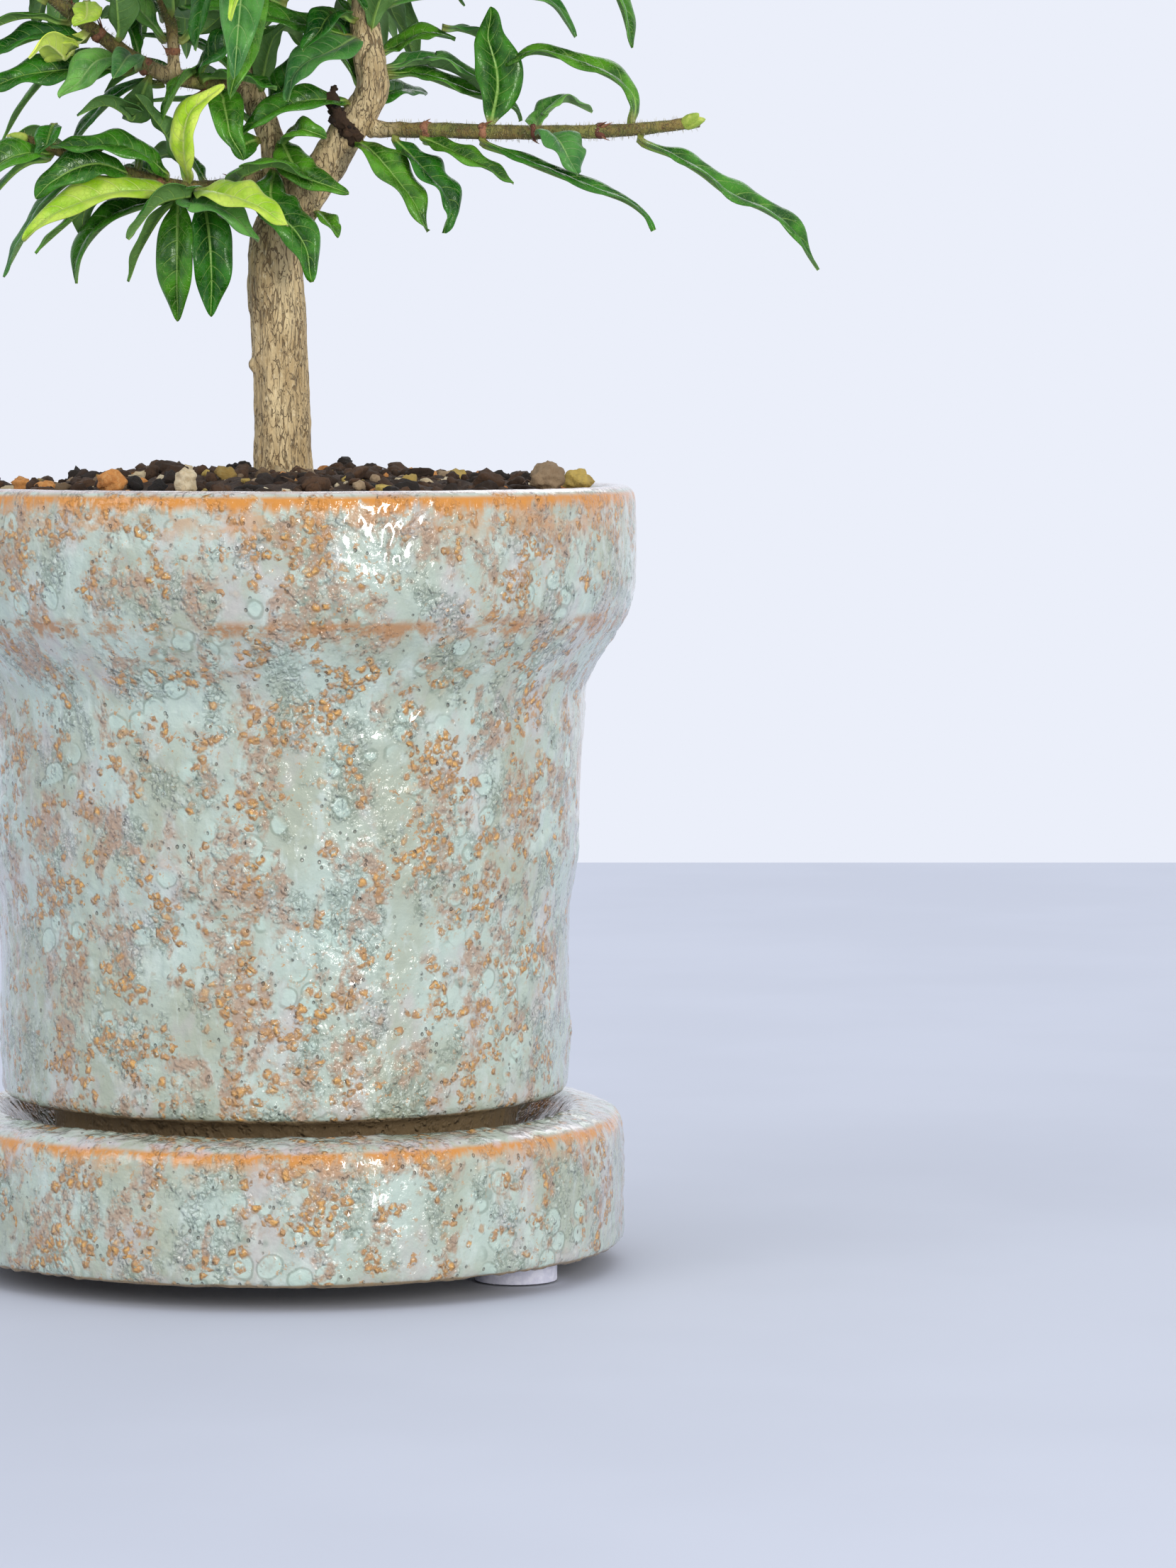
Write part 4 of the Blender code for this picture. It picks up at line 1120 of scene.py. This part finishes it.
def coarse_solid(leaf, extra=0.0):
    """A quick four-sided solid of a leaf, to test its room."""
    shares, line, along, face = leaf_rows(leaf, 9)
    half = blade_half(shares, leaf.width, 0.88) + extra
    side = np.cross(along, face)
    vertices = []
    for k in range(8):
        rise = face[k] * half[k] * 0.4
        vertices += [line[k] - side[k] * half[k] + rise, line[k] + face[k] * (0.2 + extra),
                     line[k] + side[k] * half[k] + rise, line[k] - face[k] * (0.3 + extra)]
    vertices.append(line[-1])
    faces = [(3, 2, 1, 0)]
    for ring in range(0, 28, 4):
        for corner in range(4):
            after = (corner + 1) % 4
            faces.append((ring + corner, ring + after, ring + 4 + after, ring + 4 + corner))
    faces += [(28 + corner, 28 + (corner + 1) % 4, 32) for corner in range(4)]
    return vertices, faces


# Leaves that show beside the CAD ones, or fill the crown: place of the stalk's foot and route
# from it (x, y, height above rim), width, turn of the blade and kind.
SMALL_LEAVES = [
    ((-14, -8.5, 45), [(-5, -2, -1.5), (-9.5, -2.5, -7)], 6.0, 10, "mature_leaf"),
    ((-13.5, -9, 43.5), [(5, -3.5, -1), (11, -5, -5.5)], 6.2, 20, "pale_leaf"),
    ((5.5, -2, 42.5), [(2, -3, -2), (3.5, -4, -4)], 3.6, 0, "mature_leaf"),
    ((1.2, -4, 54), [(2.5, -4, 1), (5.5, -4, -1)], 4.5, 30, "mature_leaf"),
    ((-26.5, -4, 48), [(-4, 3, -4), (-6, 5, -10)], 5.5, 10, "mature_leaf"),
    ((-12, -3.5, 63.5), [(6, -3, -0.5), (12, -5, -2.5)], 5.5, -10, "mature_leaf"),
    ((-13.5, -4, 64.5), [(-2.5, -4, -3), (-4.5, -5, -8)], 4.6, 15, "mature_leaf"),
    ((-33, -9.5, 66), [(-4, -3, 2.5), (-7, -4, 1.2)], 5.5, 35, "young_leaf"),
    ((-35, -7.5, 56), [(-0.5, -3, -3), (-1, -4, -6)], 4.2, 0, "mature_leaf"),
    ((-23, -6, 57), [(-4, -2, 2), (-8.5, -3, 0)], 6.2, 10, "mature_leaf"),
    ((17, 3, 68), [(5, 2, 2.5), (10, 3, 1.5)], 5.5, 20, "mature_leaf"),
    ((22, 4, 66), [(5, 1, -1.5), (11.5, 2, -6)], 7.0, 10, "pale_leaf"),
    ((31, 1, 57.8), [(5, 2, 3), (10.5, 3, 2)], 6.5, 20, "mature_leaf"),
    ((40, 0, 57), [(4, 2, 3), (8.5, 3, 1)], 5.0, 20, "pale_leaf"),
    ((50, -3, 54.5), [(0.8, -2, -1.5), (1.5, -2.5, -3)], 2.6, 0, "mature_leaf"),
    ((-6, -8, 48), [(5, -2, 1.5), (11, -3, -1)], 5.5, 15, "mature_leaf"),
    ((1, -3, 75), [(-6, -3, 0), (-13.5, -4, -8)], 8.5, 25, "mature_leaf"),
    ((-30, -6, 75), [(-1, -3, -3), (-2.5, -4, -5)], 4.5, 0, "young_leaf"),
    ((-22, -4, 52), [(-6, -3, 1), (-12, -4, -3)], 5.0, 15, "mature_leaf"),
    ((-20, -2, 49), [(-5, -2, -3), (-8, -2, -11)], 4.6, -10, "mature_leaf"),
    ((-9, -6, 60), [(1, -4, -4), (2, -5, -10)], 5.4, 0, "mature_leaf"),
    ((7, -4, 70), [(5, -5, 1), (10, -7, -3)], 5.4, 15, "mature_leaf"),
    ((10, -3, 73), [(-5, -5, -2), (-8, -7, -8)], 5.4, -15, "mature_leaf"),
    ((25, 5, 72), [(6, 2, -2), (10, 3, -8)], 6.2, 10, "pale_leaf"),
]

# Rule for the leaves on each stem: first and last share of its length, pairs, leaf length
LEAFY = {
    "branch_upper_left": (0.12, 0.99, 12, 22),
    "twig_up_left": (0.10, 0.98, 8, 21),
    "twig_left": (0.16, 0.99, 9, 18),
    "limb_left": (0.20, 0.99, 12, 21),
    "trunk": (0.58, 0.995, 13, 22),
    "branch_upper_right": (0.15, 0.98, 11, 24),
    "branch_back": (0.15, 0.98, 11, 24),
    "branch_front": (0.20, 0.98, 10, 23),
    "branch_back_left": (0.15, 0.98, 9, 23),
    "branch_back_right": (0.15, 0.98, 9, 23),
}
SIDE_TWIGS = {
    "branch_upper_left": (0.45, 0.75), "twig_up_left": (0.6,), "limb_left": (0.45, 0.8),
    "trunk": (0.76, 0.88), "branch_upper_right": (0.35, 0.6, 0.85), "branch_back": (0.3, 0.55, 0.8),
    "branch_front": (0.45, 0.75), "branch_back_left": (0.35, 0.7), "branch_back_right": (0.35, 0.7),
}
OPEN_SIDE = (30.0, 80.0)     # beyond this x, and below this height over the rim, no leaves by rule


def inside_box(points, spare):
    """True if points stay within the CAD model's box, with that much to spare."""
    low = np.array(CAD_BOX[0]) / MM + spare
    high = np.array(CAD_BOX[1]) / MM - spare
    return bool((points.min(axis=0) > low).all() and (points.max(axis=0) < high).all())


class Crown:
    """Keeps every leaf made so far, so that a new one finds free room."""

    def __init__(self, materials, seats):
        self.materials = materials
        self.trees = {}
        self.lines = {}
        self.count = 0
        for node in NODES:
            if not node.startswith("leaf_") and node != "soil":
                self.trees[node] = search_tree(*cad_mesh(node))
        for node, (foot, _) in seats.items():
            points, _ = cad_mesh(node)
            away = np.linalg.norm(points - foot, axis=1)
            self.lines[node] = middle_line(node, foot, points[away.argmax()], 9)
        points, _ = cad_mesh("trunk")
        self.lines["trunk"] = middle_line("trunk", (0, 0, RIM), (0, 0, TREE_TOP), 16)

    def station(self, stem, share):
        """Place on a stem's middle line, the way it runs there, and two directions across it."""
        place, way = line_at(self.lines[stem], share, 0.03)
        flat = unit(np.cross(way, (0, 0.01, 1)))
        return place, way, flat, np.cross(flat, way)

    def clear(self, shape, stem=None):
        """True if a shape touches nothing but the stem it grows from."""
        return not any(shape.overlap(tree) for name, tree in self.trees.items() if name != stem)

    def free(self, leaf, stem=None):
        """True if a leaf has room."""
        return self.clear(search_tree(*coarse_solid(leaf, 0.15)), stem)

    def add_side_twig(self, lump, name, stem, share, angle, reach):
        """Grow a short twig out of a stem where there is room."""
        place, way, flat, top = self.station(stem, share)
        out = unit(flat * math.cos(angle) + top * math.sin(angle) + way * 0.7)
        end = place + out * reach + np.array([0, 0, 0.3 * reach])
        path = smooth_curve([place, place + out * reach * 0.5 + (0, 0, 0.08 * reach), end], 6)
        vertices, faces = tube(path, np.linspace(0.85, 0.55, len(path)), 8)
        shape = search_tree(vertices, faces)
        shut_out = end[0] > OPEN_SIDE[0] and end[2] < RIM + OPEN_SIDE[1]
        if shut_out or not inside_box(path, 3.0) or not self.clear(shape, stem):
            return
        self.trees[name] = shape
        self.lines[name] = path
        lump.add(vertices, faces)

    def rooted(self, leaf):
        """Lengthen the leaf's stalk so that its foot sits in the bark nearest to it."""
        foot = Vector(leaf.line[0])
        hits = [self.trees[stem].find_nearest(foot) for stem in self.lines]
        place, normal, _, away = min(hits, key=lambda hit: hit[3])
        inner = np.array(place) - 0.25 * np.array(normal)
        if 0.15 < away < 7 and np.linalg.norm(leaf.line[1] - inner) > away:
            leaf.line = np.vstack([inner, leaf.line])
            leaf.face = np.vstack([leaf.face[:1], leaf.face])
        return leaf

    def keep(self, name, leaf, node=None):
        """Make the leaf and remember where it is."""
        self.count += 1
        leaf = self.rooted(leaf)
        self.trees[name] = search_tree(*coarse_solid(leaf))
        obj = leaf_mesh(name, leaf, 100 + self.count, self.materials[leaf.kind])
        return finish_piece(obj, leaf.kind, *([node] if node else []))

    def add_swung(self, name, base, route, width, turn_degrees, kind, stem=None):
        """Add a leaf, swung a little where its way is blocked; leave it out where nothing fits."""
        for yaw, pitch in ((0, 0), (12, 0), (-12, 0), (0, 10), (0, -10), (24, 6), (-24, 6), (24, -8),
                           (-24, -8), (38, 0), (-38, 0)):
            across = Vector((-route[-1][1], route[-1][0], 0.001)).normalized()
            swing = np.array(Matrix.Rotation(math.radians(yaw), 3, "Z")
                             @ Matrix.Rotation(math.radians(pitch), 3, across))
            path = [np.array(base) + swing @ np.array(step) for step in route]
            leaf = leaf_from_route(np.array(base, float), path, width, turn_degrees, kind)
            if inside_box(leaf.line, 1.5) and self.free(leaf, stem):
                return self.keep(name, leaf)
        return None


def make_leaves(materials, seats):
    """The CAD leaves in full detail, the small ones beside them, and the rest of the crown."""
    crown = Crown(materials, seats)
    for node in sorted(n for n in NODES if n.startswith("leaf_")):
        crown.keep(node.replace("leaf_", "blade_"), leaf_from_cad(node), node)
    for number, (base, route, width, turn_degrees, kind) in enumerate(SMALL_LEAVES):
        foot = np.array(base) + (0, 0, RIM)
        crown.add_swung(f"small_leaf_{number + 1}", foot, route, width, turn_degrees, kind)
    rng = random.Random(5)
    twigs = Lump()
    leafy = dict(LEAFY)
    for stem, shares in SIDE_TWIGS.items():
        for number, share in enumerate(shares):
            turned = rng.uniform(-0.5, 0.5)
            for side, half_turn in (("a", 0), ("b", math.pi)):
                name = f"side_twig_{stem}_{number + 1}{side}"
                crown.add_side_twig(twigs, name, stem, share, turned + half_turn, rng.uniform(9, 17))
                if name in crown.lines:
                    leafy[name] = (0.45, 1.0, 4, 17)
    side_twigs = twigs.make("side_twigs", materials["bark"])
    set_attribute(side_twigs.data, "green", [1.0] * len(side_twigs.data.vertices))
    finish_piece(side_twigs, "green_twig")
    for stem, (first, last, pairs, length) in leafy.items():
        for pair in range(pairs):
            share = first + (last - first) * pair / max(pairs - 1, 1)
            place, way, flat, top = crown.station(stem, share)
            spin = 0.4 + (math.pi / 2) * (pair % 2) + rng.uniform(-0.3, 0.3)
            for side, half_turn in (("a", 0), ("b", math.pi)):
                angle = spin + half_turn
                out = flat * math.cos(angle) + top * math.sin(angle)
                heading = unit(out * 0.8 + way * rng.uniform(0.35, 0.8) + np.array([0, 0, 0.15]))
                reach = length * rng.uniform(0.72, 1.1) * (1 - 0.25 * (share > 0.95))
                droop = reach * rng.uniform(0.10, 0.55)
                route = [heading * reach * 0.36 + (0, 0, 0.04 * reach),
                         heading * reach * 0.70 - np.array([0, 0, 0.36 * droop]),
                         heading * reach * 0.96 - np.array([0, 0, droop])]
                kind = "pale_leaf" if rng.random() < 0.2 else "mature_leaf"
                if share > 0.96 and rng.random() < 0.7:
                    kind = "young_leaf"
                foot = place + unit(out + way * 0.3) * (1.3 if stem in LEAFY else 0.7)
                end = foot + route[-1]
                if end[0] > OPEN_SIDE[0] and end[2] < RIM + OPEN_SIDE[1]:
                    continue
                crown.add_swung(f"crown_{stem}_{pair + 1}_{side}", foot, route,
                                reach * rng.uniform(0.23, 0.30), rng.uniform(-25, 25), kind, stem)
    return crown


# Buds, sheaths and hairs ---------------------------------------------------------------------

# Middle of the dead stub beside the leader (x, y, height above the rim)
STUB = [(12.0, -2.0, 53.5), (9.2, -2.8, 56.5), (7.4, -3.2, 61.0)]


def add_sheath(lump, rng, place, way, radius, number):
    """A wrinkled papery ring round a twig, with three flaps."""
    reach = rng.uniform(0.35, 0.8)
    ring = np.array([place - way * reach, place - way * reach * 0.3, place + way * reach * 0.4,
                     place + way * reach])
    skin, rings = tube(ring, [radius * 0.90, radius * 1.06, radius * 1.08, radius * 0.90], 18)
    skin = [p + 0.30 * ripple(p, 0.9, number) * unit(p - place) for p in skin]
    lump.add(skin, rings, tint=rng.random())
    for _ in range(3):
        out = unit(scatter(rng))
        out = unit(out - way * (out @ way))
        foot = place + out * (radius - 0.1) + way * rng.uniform(-0.3, 0.5)
        tall = rng.uniform(0.8, 2.2)
        route = smooth_curve([foot, foot + out * 0.4 * tall + way * 0.5 * tall,
                              foot + out * 0.7 * tall + way * 1.0 * tall], 3)
        lump.add(*tube(route, np.linspace(0.42, 0.07, len(route)), 6, 0.4), tint=rng.random())


def add_hair(lump, rng, line, tree):
    """One fine hair that stands on a twig's skin."""
    place = resample(line, [rng.uniform(0.03, 0.99)])[0]
    out = unit(scatter(rng))
    hit, normal, _, _ = tree.find_nearest(Vector(place + out * 3))
    hit, normal = np.array(hit), np.array(normal)
    lean = unit(normal + 0.5 * out)
    route = [hit - normal * 0.1, hit + lean * 0.25, hit + lean * rng.uniform(0.35, 0.6)]
    lump.add(*tube(route, [0.035, 0.028, 0.012], 3), tint=rng.random())


def add_bud(lump, rng, tip, way, sphere):
    """One pointed scale of the bud at a twig's tip."""
    size = np.array([0.8, 0.8, 1.9]) * rng.uniform(0.8, 1.15)
    lean = unit(way + 0.35 * scatter(rng))
    turn_to = np.array(Vector((0, 0, 1)).rotation_difference(Vector(lean)).to_matrix())
    points = sphere[0] * size
    points[:, :2] *= (1.15 - 0.55 * (points[:, 2:3] / size[2]))
    lump.add(points @ turn_to.T + tip + lean * 1.4, sphere[1], tint=rng.random())


def make_stub(rng, sphere, material):
    """Dead stub beside the leader, with crumbling bark."""
    stub = smooth_curve(np.array(STUB) + (0, 0, RIM), 6)
    skin, rings = tube(stub, np.linspace(1.35, 0.95, len(stub)), 20)
    lump = Lump()
    lump.add([p + 0.45 * ripple(p, 1.1, 4) + 0.25 * ripple(p, 0.5, 5) for p in skin], rings)
    for _ in range(34):
        place = stub[rng.randrange(len(stub))] + 1.1 * unit(scatter(rng))
        lump.add(*grain(rng, sphere, place, rng.uniform(0.35, 0.8)), tint=rng.random())
    finish_piece(lump.make("dead_stub", material), "bark")


def make_nodes_detail(materials, crown):
    """Papery sheaths round the twigs' leaf nodes, buds at their tips, and fine hairs."""
    rng = random.Random(23)
    sheaths, buds, hairs = Lump(), Lump(), Lump()
    sphere = ball(2)
    for stem, line in crown.lines.items():
        if stem in BARK_NODES:
            continue
        tree = crown.trees[stem]
        total = path_lengths(line)[-1]
        count = max(int(total / 10), 3)
        for k in range(count):
            place, way = line_at(line, 0.10 + 0.86 * (k + rng.uniform(-0.2, 0.2)) / count, 0.02)
            nearest = np.array(tree.find_nearest(Vector(place))[0])
            add_sheath(sheaths, rng, place, way, max(np.linalg.norm(nearest - place), 0.8) + 0.12, k)
        for _ in range(int(total * 16)):
            add_hair(hairs, rng, line, tree)
        for _ in range(4):
            add_bud(buds, rng, line[-1], unit(line[-1] - line[-3]), sphere)
    make_stub(rng, sphere, materials["crumb"])
    finish_piece(sheaths.make("node_sheaths", materials["sheath"]), "green_twig")
    finish_piece(hairs.make("twig_hairs", materials["hair"]), "green_twig")
    finish_piece(buds.make("tip_buds", materials["bud"]), "young_leaf")


# Stage ---------------------------------------------------------------------------------------

def make_stage():
    """Plain pale table top, pale surroundings, one large soft light and two fillers."""
    mesh = bpy.data.meshes.new("table_top")
    wide, near = 4000.0, -4000.0
    corners = [(-wide, near, 0), (wide, near, 0), (wide, TABLE_EDGE, 0), (-wide, TABLE_EDGE, 0)]
    mesh.from_pydata([tuple(c * MM for c in corner) for corner in corners], [], [(0, 1, 2, 3)])
    table = new_object("table_top", mesh)
    material = flat_material("pale_table", rgb(197, 201, 211), rgb(200, 204, 214), 90.0, 0.8, 0.0,
                             Specular_IOR_Level=0.1)
    mesh.materials.append(material)
    world = bpy.data.worlds.new("pale_room")
    bpy.context.scene.world = world
    world.use_nodes = True
    back = world.node_tree.nodes["Background"]
    back.inputs["Color"].default_value = (*rgb(235, 239, 250), 1)
    back.inputs["Strength"].default_value = 1.0
    for name, place, size, power, spread, colour in (
            ("key_light", (800, -1290, 430), (130, 720), 3.3, 100, (1.0, 0.98, 0.94)),
            ("fill_light", (-1200, -1100, 900), (900, 900), 2.1, 110, (0.97, 0.98, 1.0)),
            ("back_light", (300, 1500, 1300), (1200, 900), 2.1, 110, (1.0, 1.0, 1.0))):
        light = bpy.data.lights.new(name, "AREA")
        light.shape = "RECTANGLE"
        light.size, light.size_y = size[0] * MM, size[1] * MM
        light.energy = power
        light.spread = math.radians(spread)
        light.color = colour
        lamp = new_object(name, light)
        lamp.location = Vector(place) * MM
        aim = Vector((0, 0, RIM)) - Vector(place)
        lamp.rotation_euler = aim.to_track_quat("-Z", "Y").to_euler()


def make_camera():
    """Long lens, level with the rim and tilted slightly down."""
    camera = bpy.data.cameras.new("camera")
    camera.lens = LENS
    camera.clip_end = 20
    view = new_object("camera", camera)
    view.location = Vector(CAMERA_PLACE) * MM
    view.rotation_euler = (math.radians(90 - CAMERA_TILT), 0, 0)
    bpy.context.scene.camera = view


make_camera()
make_stage()
bpy.context.scene.view_settings.view_transform = "Standard"
MATERIALS = make_materials()
make_pot(MATERIALS)
make_pads(MATERIALS)
make_soil(MATERIALS)
make_stones(MATERIALS)
make_grains(MATERIALS)
SEATS = make_wood(MATERIALS)
CROWN = make_leaves(MATERIALS, SEATS)
make_nodes_detail(MATERIALS, CROWN)
